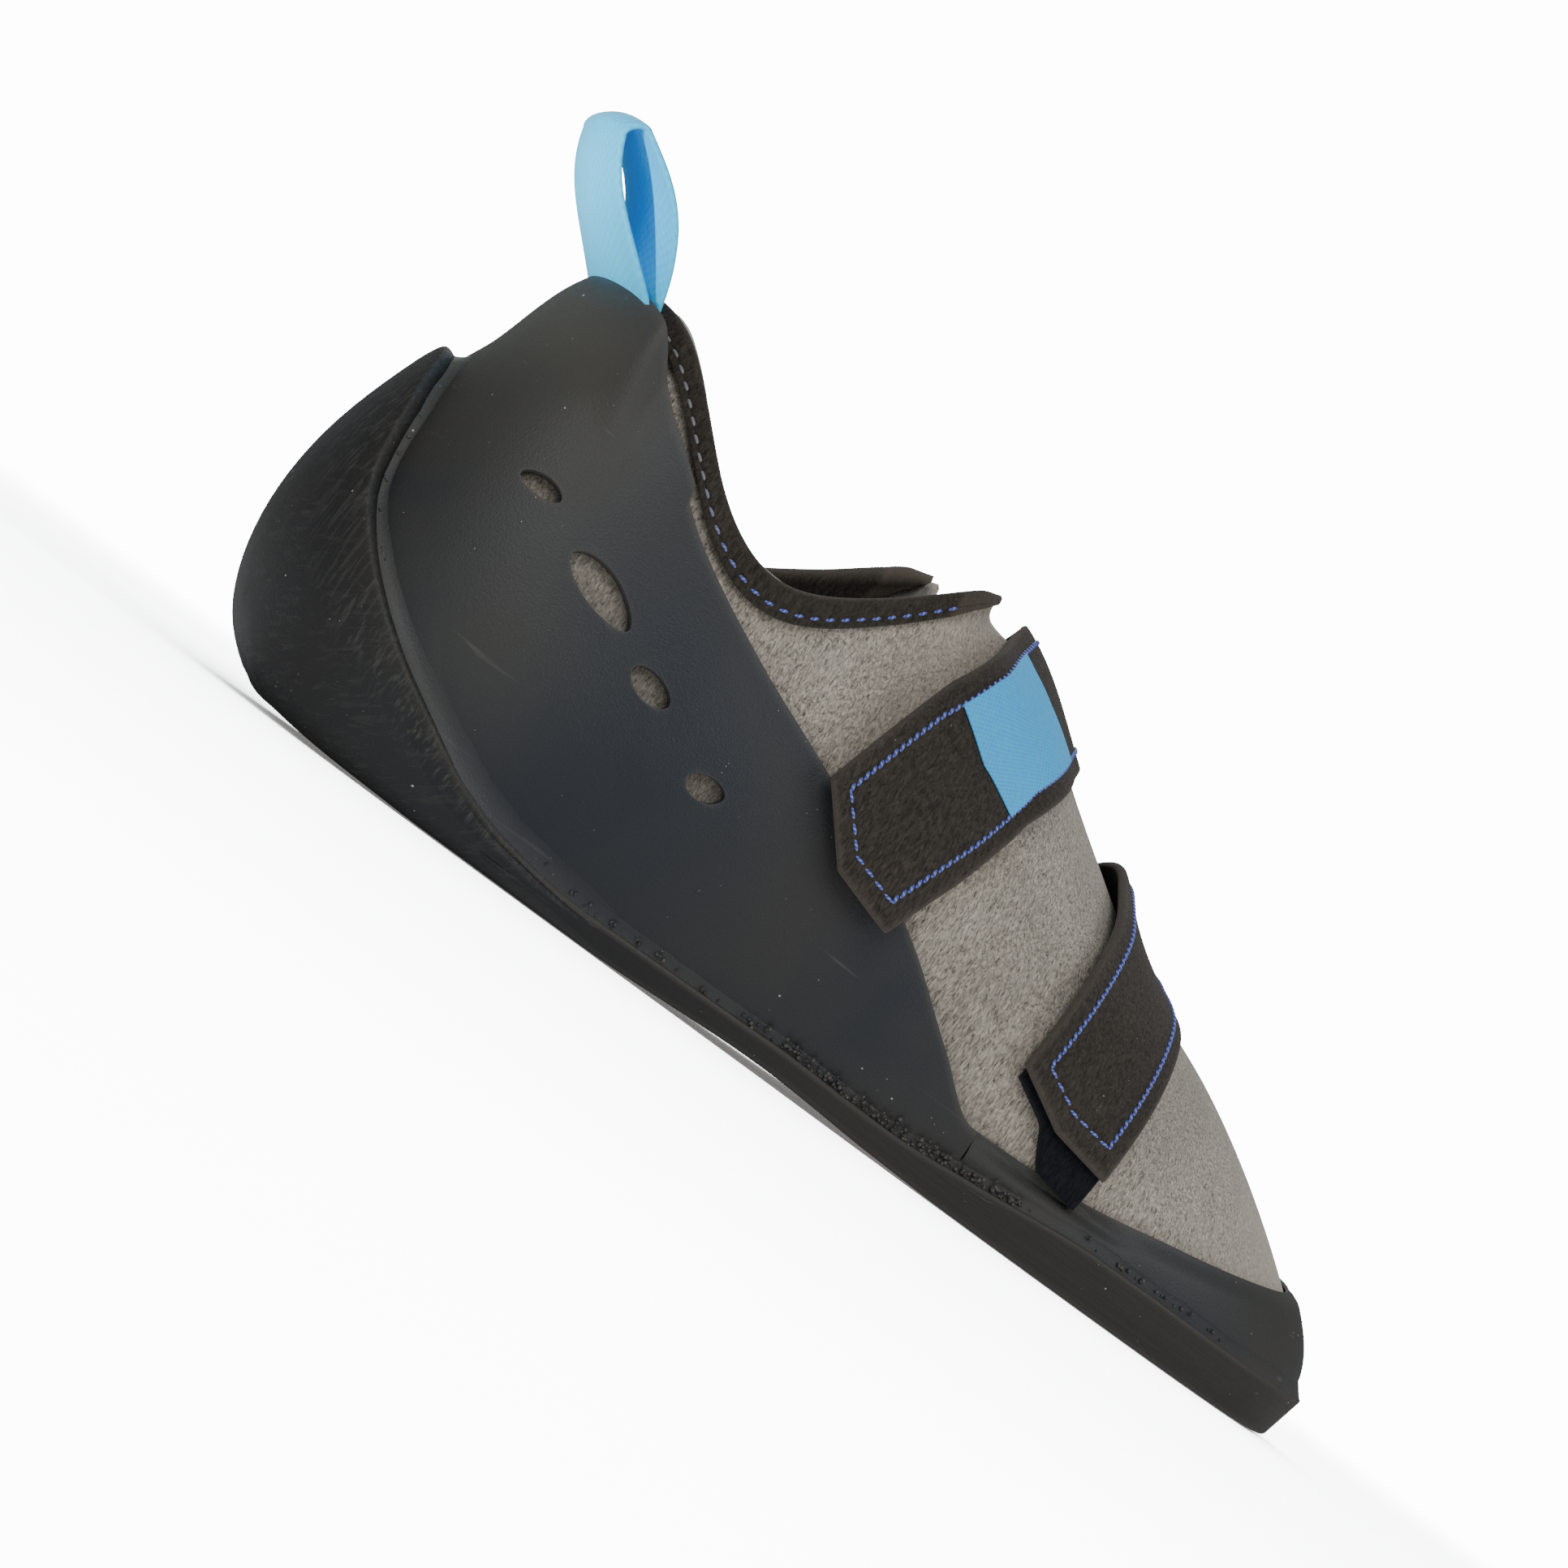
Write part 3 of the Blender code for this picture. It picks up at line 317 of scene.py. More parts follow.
# path: share of the way from heel to toe; floor_out, floor_in: height of the bottom edge, mm;
# side: height of the sole's side, mm; lip, bevel: its thickness at the top and the grinding below, mm
SOLE_COLUMNS = ("path", "floor_out", "floor_in", "side", "lip", "bevel")
SOLE_EDGE = np.array([
    (0.00, 1.5, 1.5, 64.0, 3.4, 0.0), (0.03, 1.2, 1.2, 54.0, 3.4, 0.0), (0.05, 0.9, 0.9, 38.0, 3.0, 0.0),
    (0.09, 0.4, 0.4, 23.0, 2.6, 0.0), (0.12, 0.2, 0.2, 17.0, 2.3, 0.0), (0.155, 0.0, 0.0, 12.0, 1.9, 0.2),
    (0.20, 0.0, 0.0, 8.6, 1.5, 0.5), (0.27, 0.0, 0.6, 6.6, 1.3, 0.9), (0.41, 1.4, 4.6, 6.8, 1.3, 1.2),
    (0.50, 0.4, 2.4, 6.2, 1.3, 1.4), (0.57, 0.0, 0.0, 7.4, 1.5, 2.2), (0.66, 0.0, 0.0, 9.2, 1.7, 2.6),
    (0.84, 0.0, 0.0, 9.4, 1.8, 2.2), (0.94, 0.4, 0.4, 9.6, 1.8, 1.4), (1.00, 0.9, 0.9, 9.8, 1.8, 1.2),
])


def section(name):
    """One column of the section table."""
    return SECTIONS[:, SECTION_COLUMNS.index(name)]


OUTER_EDGE = np.stack([section("along") * LAST_LENGTH, -section("outer") * BALL_WIDTH], 1)
INNER_EDGE = np.stack([section("along") * LAST_LENGTH, section("inner") * BALL_WIDTH], 1)
EDGE_STEPS = (np.linalg.norm(np.diff(OUTER_EDGE, axis=0), axis=1)
              + np.linalg.norm(np.diff(INNER_EDGE, axis=0), axis=1))
SECTION_PATHS = np.concatenate([[0], np.cumsum(EDGE_STEPS)]) / EDGE_STEPS.sum()
SECTION_TURNS = loop_values(SECTION_PATHS / 2, 1 - SECTION_PATHS / 2)
print("sections:", len(SECTIONS), "  rows of the sole edge:", len(SOLE_EDGE))

# %% Columns at any turn


def path_of(turn):
    """Share of the way from the heel back to the toe tip, on either side."""
    turn = np.mod(turn, 1)
    return 2 * np.minimum(turn, 1 - turn)


def on_sections(name, turn, curve=steady_loop):
    """A column of the section table at any turn."""
    return curve(SECTION_TURNS, loop_values(section(name), section(name)), turn)


def on_path(paths, values, turn):
    """Values given along the path from heel to toe, the same on both sides, at any turn."""
    knots = loop_values(paths / 2, 1 - paths / 2)
    return steady_loop(knots, loop_values(values, values), turn)


def sole_row(name, turn):
    """A column of the sole edge table at any turn, in metres."""
    return on_path(SOLE_EDGE[:, 0], SOLE_EDGE[:, SOLE_COLUMNS.index(name)], turn) * MM


def floor_height(turn):
    """Height of the sole's bottom edge: the outer column on one side, the inner one on the other."""
    return np.where(np.mod(turn, 1) <= 0.5, sole_row("floor_out", turn), sole_row("floor_in", turn))


# %% Sole edge and ridge


def edge_plan(turn):
    """Plan of the edge where the upper meets the sole."""
    x = smooth_loop(SECTION_TURNS, loop_values(OUTER_EDGE[:, 0], INNER_EDGE[:, 0]), turn)
    y = smooth_loop(SECTION_TURNS, loop_values(OUTER_EDGE[:, 1], INNER_EDGE[:, 1]), turn)
    return np.stack([x, y], -1)


def edge_outward(turn):
    """Level unit vector that points out of the edge: its tangent turned by a right angle."""
    along = edge_plan(turn + 1e-4) - edge_plan(turn - 1e-4)
    return unit(np.stack([along[..., 1], -along[..., 0]], -1))


def ridge_line(turn):
    """Middle of the top edge: the line that the two sides of the vamp share."""
    return np.stack([on_sections("top_along", turn, smooth_loop) * LAST_LENGTH,
                     on_sections("ridge", turn, smooth_loop) * BALL_WIDTH,
                     on_sections("height", turn, smooth_loop) * INSTEP_HEIGHT], -1)


def half_opening(turn):
    """How far the top edge lies from the ridge line: the collar's half width, 0 on the vamp."""
    values = section("opening") * BALL_WIDTH
    return steady_loop(SECTION_TURNS, loop_values(-values, values), turn)


def on_vamp(turn):
    """Whether the top edge lies on the ridge line, where the two sides of the vamp meet."""
    return np.abs(half_opening(turn)) < 1e-7


# %% The surface of the last


def last(turn, rise):
    """At each turn a cubic Bezier curve climbs from the sole edge to the top edge."""
    turn, rise = np.broadcast_arrays(np.asarray(turn, float), np.asarray(rise, float))
    plan = edge_plan(turn)
    out = edge_outward(turn)
    foot = np.stack([plan[..., 0], plan[..., 1], floor_height(turn) + SOLE_THICKNESS + GAP], -1)
    top = ridge_line(turn)
    top[..., 1] += half_opening(turn)
    span = np.linalg.norm(top - foot, axis=-1, keepdims=True)
    lean = np.radians(steady_loop(SECTION_TURNS, loop_values(section("lean_out"), section("lean_in")), turn))
    top_lean = np.radians(on_sections("top_lean", turn))
    near = np.clip(path_of(turn), 0.02, 0.94) / 2
    fall = ridge_line(near + 0.01) - ridge_line(near - 0.01)
    slope = fall[..., 2] / np.maximum(fall[..., 0], 1e-6) * blend(60, 88, np.degrees(top_lean))
    start = np.stack([out[..., 0] * np.sin(lean), out[..., 1] * np.sin(lean), np.cos(lean)], -1)
    finish = np.stack([-out[..., 0] * np.sin(top_lean), -out[..., 1] * np.sin(top_lean),
                       np.cos(top_lean) - out[..., 0] * slope], -1)
    low = foot + start * span * on_sections("low_pull", turn)[..., None]
    high = top - unit(finish) * span * on_sections("high_pull", turn)[..., None]
    s = rise[..., None]
    return (1 - s) ** 3 * foot + 3 * s * (1 - s) ** 2 * low + 3 * s ** 2 * (1 - s) * high + s ** 3 * top


def outward(turn, rise):
    """Unit vector that points out of the last: across the two directions of the surface."""
    turn, rise = np.broadcast_arrays(np.asarray(turn, float), np.asarray(rise, float))
    inside = np.clip(rise, 0.004, 0.985)

    def raw(at):
        """Across the surface at one turn, before the two sides of the vamp are evened out."""
        along = last(at + 4e-4, inside) - last(at - 4e-4, inside)
        return unit(np.cross(along, last(at, inside + 0.004) - last(at, inside - 0.004)))

    shared = on_vamp(turn) * blend(0.8, 1.0, rise)
    return unit(raw(turn) + raw(1 - turn) * shared[..., None])


def skin(turn, rise, offset):
    """The last moved outwards by an offset, one for all the points or one for each."""
    return last(turn, rise) + outward(turn, rise) * np.asarray(offset)[..., None]


def axes_at(turn, rise):
    """A mark on the wall: its point, and the unit vectors out of the wall, ahead to the toe and up it."""
    out = outward(turn, rise)
    ahead = unit(last(turn + 0.004, rise) - last(turn - 0.004, rise))
    return last(turn, rise), out, ahead, np.cross(out, ahead)


# %% [markdown]
# ## Finding places on the last
# A maker marks the last with a ruler: so far up the wall, so far below the collar, so far from the
# ridge.  Each mark is found by walking up the sections in small steps and seeing where the measure
# is reached, for all the sections at once.

# %% Marks on the last


def reached(rows, target, steps):
    """For each row of rising values, the step at which it reaches its target, by straight lines."""
    target = np.broadcast_to(target, len(rows))
    right = np.clip((rows < target[:, None]).sum(1), 1, rows.shape[1] - 1)
    pick = np.arange(len(rows))
    low = rows[pick, right - 1]
    share = np.clip((target - low) / np.maximum(rows[pick, right] - low, 1e-9), 0, 1)
    return steps[right - 1] + share * (steps[right] - steps[right - 1])


def rise_at_height(turn, height):
    """Rise at which each section reaches a height above the ground."""
    steps = np.linspace(0, 1, 161)
    heights = last(np.atleast_1d(turn)[:, None], steps[None, :])[..., 2]
    return reached(np.maximum.accumulate(heights, axis=1), height, steps)


def rise_below_top(turn, skirt):
    """Rise that lies a skirt's width below the top edge, measured along the wall."""
    steps = np.linspace(0, 1, 161)
    points = last(np.atleast_1d(turn)[:, None], steps[None, :])
    length = np.linalg.norm(np.diff(points, axis=1), axis=-1)
    climbed = np.concatenate([np.zeros((len(points), 1)), np.cumsum(length, axis=1)], 1)
    return reached(climbed, climbed[:, -1] - skirt, steps)


def rise_beside_ridge(turn, width):
    """Rise at which the wall is still a width away from the ridge line."""
    steps = np.linspace(0.3, 1, 161)
    points = last(np.atleast_1d(turn)[:, None], steps[None, :])
    away = np.abs(points[..., 1] - ridge_line(np.atleast_1d(turn))[:, None, 1])
    return reached(-np.minimum.accumulate(away, axis=1), -width, steps)


def outer_mark(along, height):
    """Turn and rise of a mark on the outer wall: a share of the length from the heel, and a height."""
    turns = np.linspace(0.02, 0.47, 181)
    places = last(turns, rise_at_height(turns, height))[:, 0]
    turn = float(np.interp(along * LAST_LENGTH, np.maximum.accumulate(places), turns))
    return turn, float(rise_at_height(turn, height)[0])


HALF_STATIONS = np.concatenate([np.linspace(0, 0.1, 13)[:-1], np.linspace(0.1, 0.42, 25)[:-1],
                                np.linspace(0.42, 0.5, 12)])
STATIONS = np.concatenate([HALF_STATIONS, 1 - HALF_STATIONS[-2:0:-1]])
COLLAR_HALF = 13 * MM
COLLAR_END = float(HALF_STATIONS[np.abs(half_opening(HALF_STATIONS)) > COLLAR_HALF].max())
INSOLE_INSET = 2.8 * MM
insole_plan = edge_plan(STATIONS) - edge_outward(STATIONS) * INSOLE_INSET
insole_low = np.array([*insole_plan.min(axis=0), (floor_height(STATIONS) + SOLE_THICKNESS + GAP).min()])
SHIFT = np.array(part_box("insole")[0]) - insole_low
print("from the last to the frame, mm:", np.round(SHIFT / MM, 2))
print("collar ends at turn", round(COLLAR_END, 3))

# %% [markdown]
# ## From grids to meshes
# Each piece below is a grid of points, and most are a sheet: an outer grid, an inner grid and a wall
# along every edge.  Points that fall on each other become one, so that poles and seams are closed.

# %% Grids and sheets


def numbered(rows, columns, start=0):
    """A grid of point numbers, row by row."""
    return np.arange(rows * columns).reshape(rows, columns) + start


def cells(index, closed=False):
    """Four corners of every cell in a grid of point numbers; closed joins the last row to the first."""
    if closed:
        index = np.vstack([index, index[:1]])
    return np.stack([index[:-1, :-1], index[1:, :-1], index[1:, 1:], index[:-1, 1:]], -1).reshape(-1, 4)


def welded(points):
    """One number for all the points that lie within a micrometre of each other."""
    return np.unique(np.round(points / 1e-6), axis=0, return_index=True, return_inverse=True)[1:]


def thickened(outer, inner, face):
    """Outer faces, inner faces turned over, and a wall on each edge that only one face uses.

    Returns the points, the corners of the faces and a tag for each face: 0 outer, 1 inner, 2 wall.
    """
    count = len(outer)
    same = welded(outer)[1].ravel()
    edge = np.concatenate([face[:, [0, 1]], face[:, [1, 2]], face[:, [2, 3]], face[:, [3, 0]]])
    key = np.sort(same[edge], axis=1)
    _, first, uses = np.unique(key, axis=0, return_index=True, return_counts=True)
    rim = edge[first[uses == 1]]
    rim = rim[same[rim[:, 0]] != same[rim[:, 1]]]
    wall = np.stack([rim[:, 1], rim[:, 0], rim[:, 0] + count, rim[:, 1] + count], 1)
    corners = np.concatenate([face, face[:, ::-1] + count, wall])
    tags = np.repeat([0, 1, 2], [len(face), len(face), len(wall)])
    return np.concatenate([outer, inner]), corners, tags


def sheet_faces(outer, inner, closed=False):
    """A sheet between two grids of the same shape."""
    return thickened(outer.reshape(-1, 3), inner.reshape(-1, 3), cells(numbered(*outer.shape[:2]), closed))


def sheet_about(middle, half):
    """A sheet that reaches half its thickness to either side of a grid, along the grid's own normals."""
    normal = unit(np.cross(np.gradient(middle, axis=0), np.gradient(middle, axis=1)))
    return sheet_faces(middle + normal * half, middle - normal * half)


# %% [markdown]
# A piece is made from its points and faces, rides on the shoe's one body, and says which solid it stands
# for.  Its volume is worked out; it would be negative for a piece that is inside out.


def volume_in(points, loops, total):
    """Volume inside a mesh: faces are cut in fans, and a triangle adds a sixth of its triple product."""
    corner = points[loops]
    first = corner[np.repeat(np.cumsum(total) - total, total)]
    following = corner[np.minimum(np.arange(len(loops)) + 1, len(loops) - 1)]
    in_fan = np.ones(len(loops), bool)
    in_fan[np.cumsum(total) - 1] = False
    return (np.einsum("ij,ij->i", first, np.cross(corner, following)) * in_fan).sum() / 6


def add_piece(name, points, corners, finish, replaces=(), uv=None, attributes=None, tags=None):
    """Mesh object from points and the corners of its faces: coinciding points are joined first, and a
    face that loses a corner by that becomes a triangle.  uv and attributes give values point by point."""
    first, same = welded(points)
    corners = same.ravel()[corners]
    stay = corners != np.roll(corners, 1, axis=1)
    whole = stay.sum(1) > 2
    corners, stay = corners[whole], stay[whole]
    loops = corners[stay]
    total = stay.sum(1)
    mesh = bpy.data.meshes.new(name)
    mesh.vertices.add(len(first))
    mesh.vertices.foreach_set("co", (points[first] + SHIFT).astype(np.float32).ravel())
    mesh.loops.add(len(loops))
    mesh.loops.foreach_set("vertex_index", loops.astype(np.int32))
    mesh.polygons.add(len(total))
    mesh.polygons.foreach_set("loop_start", (np.cumsum(total) - total).astype(np.int32))
    mesh.polygons.foreach_set("use_smooth", np.ones(len(total), bool))
    for made_of in finish if isinstance(finish, list) else [finish]:
        mesh.materials.append(made_of)
    if tags is not None:
        mesh.polygons.foreach_set("material_index", tags[whole].astype(np.int32))
    if uv is not None:
        layer = mesh.uv_layers.new(name="weave")
        layer.data.foreach_set("uv", uv[first][loops].astype(np.float32).ravel())
    for key, values in (attributes or {}).items():
        mesh.attributes.new(key, "FLOAT", "POINT").data.foreach_set("value", values[first].astype(np.float32))
    mesh.update(calc_edges=True)
    mesh.validate()
    thing = bpy.data.objects.new(name, mesh)
    bpy.context.scene.collection.objects.link(thing)
    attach(thing, "root")
    if replaces:
        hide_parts(*replaces)
    volume = volume_in(points[first], loops, total)
    return thing


def round_edges(thing, width, segments=2, angle=50):
    """Bevel on every edge sharper than an angle."""
    bevel = thing.modifiers.new("round_edges", "BEVEL")
    bevel.width = width
    bevel.segments = segments
    bevel.limit_method = "ANGLE"
    bevel.angle_limit = math.radians(angle)
    return thing


# %% [markdown]
# ## Shared effects
# Suede, rubber and webbing differ in colour, but they share a few effects: a nap of fibres, dust and
# scratches, a weave.  Each is a small node group with named sockets, built once.
# Everything is measured in metres on the shoe itself, so a fibre is as long on the toe as on the heel.

# %% Group helpers


def new_group(name, inputs, outputs):
    """An empty node group with named float or vector inputs, its defaults, and named float outputs."""
    group = bpy.data.node_groups.new(name, "ShaderNodeTree")
    for label, value in inputs.items():
        kind = "NodeSocketVector" if value is None else "NodeSocketFloat"
        socket = group.interface.new_socket(label, in_out="INPUT", socket_type=kind)
        if value is not None:
            socket.default_value = value
    for label in outputs:
        group.interface.new_socket(label, in_out="OUTPUT", socket_type="NodeSocketFloat")
    return group, add_node(group, "NodeGroupInput"), add_node(group, "NodeGroupOutput")


def send(leave, **results):
    """Plug results into a group's named outputs."""
    for label, result in results.items():
        leave.id_data.links.new(result, leave.inputs[label])


def feed(tree, socket, part):
    """A number or a colour is set on the socket, and anything else is plugged in."""
    if isinstance(part, (int, float, tuple)):
        socket.default_value = part
    else:
        tree.links.new(part, socket)


def math_node(tree, operation, a, b=0.0, c=0.0):
    """One sum of numbers and sockets."""
    made = add_node(tree, "ShaderNodeMath", operation=operation)
    for i, part in enumerate((a, b, c)):
        feed(tree, made.inputs[i], part)
    return made.outputs[0]


def spread(tree, value, low, high, to_low=0.0, to_high=1.0):
    """A value stretched from one range to another and held inside it."""
    return add_node(tree, "ShaderNodeMapRange", {1: low, 2: high, 3: to_low, 4: to_high},
                    {0: value}).outputs[0]


def noise(tree, vector, scale, detail=2.0, roughness=0.55, distortion=0.0):
    """Cloudy noise; the scale is how many clouds fit in a metre."""
    made = add_node(tree, "ShaderNodeTexNoise",
                    {"Detail": detail, "Roughness": roughness, "Distortion": distortion}, {"Vector": vector})
    feed(tree, made.inputs["Scale"], scale)
    return made.outputs[0]


def stretched(tree, vector, x, y, z):
    """Coordinates scaled on each axis: a small number draws a pattern out along that axis."""
    made = add_node(tree, "ShaderNodeVectorMath", {1: (x, y, z)}, {0: vector}, operation="MULTIPLY")
    return made.outputs[0]


# %% Nap of suede
nap, entry, leave = new_group("nap", {"Vector": None, "Fibres": 1500.0, "Patches": 30.0},
                              ("Fibre", "Patch", "Height"))
lying = stretched(nap, entry.outputs["Vector"], 1, 1, 0.28)
fine = noise(nap, lying, entry.outputs["Fibres"], 3, 0.65, 0.9)
tuft = noise(nap, entry.outputs["Vector"], math_node(nap, "MULTIPLY", entry.outputs["Fibres"], 0.36), 2)
patch = noise(nap, entry.outputs["Vector"], entry.outputs["Patches"], 3, 0.5, 0.6)
send(leave, Fibre=spread(nap, fine, 0.30, 0.70), Patch=spread(nap, patch, 0.3, 0.7),
     Height=math_node(nap, "MULTIPLY_ADD", tuft, 0.3, math_node(nap, "MULTIPLY", fine, 0.8)))

# %% Dust and scratches on rubber
wear, entry, leave = new_group("wear", {"Vector": None, "Specks": 330.0, "Share": 0.25, "Clouds": 16.0},
                               ("Specks", "Scratches", "Cloud", "Height"))
crumbs = add_node(wear, "ShaderNodeTexVoronoi",
                  links={"Vector": entry.outputs["Vector"], "Scale": entry.outputs["Specks"]})
chance = add_node(wear, "ShaderNodeSeparateColor", links={0: crumbs.outputs["Color"]})
drift = spread(wear, noise(wear, entry.outputs["Vector"], 42, 2), 0.42, 0.66, 0.15, 1.9)
drift_share = math_node(wear, "MULTIPLY", entry.outputs["Share"], drift)
few = math_node(wear, "LESS_THAN", chance.outputs[0], drift_share)
size = spread(wear, chance.outputs[1], 0.0, 1.0, 0.02, 0.08)
near = math_node(wear, "LESS_THAN", crumbs.outputs["Distance"], size)
lines = noise(wear, stretched(wear, entry.outputs["Vector"], 22, 90, 380), 1.0, 3, 0.6, 0.4)
scratch = spread(wear, lines, 0.68, 0.78)
cloud = noise(wear, entry.outputs["Vector"], entry.outputs["Clouds"], 3, 0.55, 0.7)
pores = noise(wear, entry.outputs["Vector"], 2600, 2, 0.6)
send(leave, Specks=math_node(wear, "MULTIPLY", few, near), Scratches=scratch,
     Cloud=spread(wear, cloud, 0.32, 0.68), Height=math_node(wear, "MULTIPLY_ADD", scratch, -0.35, pores))

# %% Weave
weave, entry, leave = new_group("weave", {"Vector": None, "Warp": 1400.0, "Weft": 1100.0},
                                ("Shade", "Height"))
split = add_node(weave, "ShaderNodeSeparateXYZ", links={0: entry.outputs["Vector"]})
warp, weft = (math_node(weave, "SINE", math_node(weave, "MULTIPLY", math_node(
    weave, "MULTIPLY", split.outputs[axis], entry.outputs[count]), math.pi))
    for axis, count in enumerate(("Warp", "Weft")))
over = math_node(weave, "MULTIPLY_ADD", math_node(weave, "MULTIPLY", warp, weft), 0.5, 0.5)
loose = noise(weave, entry.outputs["Vector"], 900, 2)
# Shade: lighter on the crowns of the threads and darker between them, painted shade, with a random tone from
# loose fibres
send(leave, Height=math_node(weave, "MULTIPLY_ADD", over, 0.6, math_node(weave, "MULTIPLY", loose, 0.5)),
     Shade=math_node(weave, "MULTIPLY_ADD", over, 0.5, math_node(weave, "MULTIPLY", loose, 0.6)))
print("effect groups:", ", ".join(g.name for g in (nap, wear, weave)))

# %% [markdown]
# ## Finishes
# A finish is one Principled shader fed by the groups.  What is the same all over, such as the sheen of
# suede, is set on the shader itself; only what changes over the surface is plugged in.

# %% Finish helpers


def new_finish(name, roughness, **constants):
    """A material with its shader, its place on the shoe and the constants of its Principled shader."""
    made = bpy.data.materials.new(name)
    made.use_nodes = True
    shader = made.node_tree.nodes["Principled BSDF"]
    shader.inputs["Roughness"].default_value = roughness
    for label, value in constants.items():
        shader.inputs[label.replace("_", " ")].default_value = value
    place = add_node(made.node_tree, "ShaderNodeTexCoord")
    return made, made.node_tree, shader, place


def use_group(tree, group, vector, **values):
    """A copy of a group in a material, with its own values."""
    made = add_node(tree, "ShaderNodeGroup", node_tree=group)
    tree.links.new(vector, made.inputs["Vector"])
    for label, value in values.items():
        made.inputs[label].default_value = value
    return made.outputs


def mixed(tree, share, first, second):
    """Two colours mixed by a share; each is a colour or a socket."""
    made = add_node(tree, "ShaderNodeMix", data_type="RGBA")
    for i, part in ((0, share), (6, first), (7, second)):
        feed(tree, made.inputs[i], part)
    return made.outputs[2]


def laid_on(tree, body, share, strength, colour):
    """A colour laid on a body colour, by a share times a strength."""
    return mixed(tree, math_node(tree, "MULTIPLY", share, strength), body, colour)


def painted(tree, name):
    """A value that the piece carries point by point."""
    return add_node(tree, "ShaderNodeAttribute", attribute_name=name).outputs["Fac"]


def bumped(tree, shader, height, distance, strength=1.0):
    """Height in the shader's normal; distance is how far 0 to 1 stands up, in metres."""
    bump = add_node(tree, "ShaderNodeBump", {"Strength": strength, "Distance": distance}, {"Height": height})
    tree.links.new(bump.outputs[0], shader.inputs["Normal"])


# %% Suede and microsuede


def suede_finish(name, dark, light, worn, fibres, depth, sheen, lint=0.0):
    """Fibres run from dark to light, patches of nap lean the other way, a worn share is paler and a share of
    painted shade darker."""
    made, tree, shader, place = new_finish(name, 0.95, Specular_IOR_Level=0.12, Sheen_Weight=sheen,
                                           Sheen_Roughness=0.55)
    hair = use_group(tree, nap, place.outputs["Object"], Fibres=fibres)
    body = mixed(tree, hair["Fibre"], dark, light)
    leaning = mixed(tree, spread(tree, hair["Patch"], 0, 1, 0.0, 0.34), body, dark)
    worn_and_shaded = mixed(tree, painted(tree, "worn"), leaning, worn)
    # painted shade: the dark colour laid on where the piece carries a share of shade, round the rand's slots
    worn_and_shaded = mixed(tree, painted(tree, "painted_shade"), worn_and_shaded, dark)
    if lint:
        dusty = use_group(tree, wear, place.outputs["Object"], Specks=620.0, Share=lint)
        worn_and_shaded = laid_on(tree, worn_and_shaded, dusty["Specks"], 0.7, tint(196, 184, 168))
    tree.links.new(worn_and_shaded, shader.inputs["Base Color"])
    bumped(tree, shader, hair["Height"], depth)
    return made


# dark, light and worn colour, fibres per metre, depth of the nap, sheen and share of lint
SUEDE = suede_finish("suede", tint(82, 77, 70), tint(226, 215, 198), tint(206, 195, 178),
                     2500.0, 0.22 * MM, 0.25)
LINING = suede_finish("lining", tint(128, 124, 118), tint(178, 174, 168), tint(190, 186, 180),
                      1200.0, 0.25 * MM, 0.2)
BINDING = suede_finish("binding_suede", tint(30, 27, 24), tint(76, 69, 62), tint(104, 95, 84),
                       2100.0, 0.22 * MM, 0.10, 0.05)
STRAP = suede_finish("strap_suede", tint(34, 31, 28), tint(82, 75, 68), tint(98, 90, 82),
                     2100.0, 0.22 * MM, 0.10, 0.22)
PAD = suede_finish("hook_pad", tint(8, 9, 13), tint(34, 36, 44), tint(30, 30, 36), 1500.0, 0.5 * MM, 0.05)

# %% Rubber


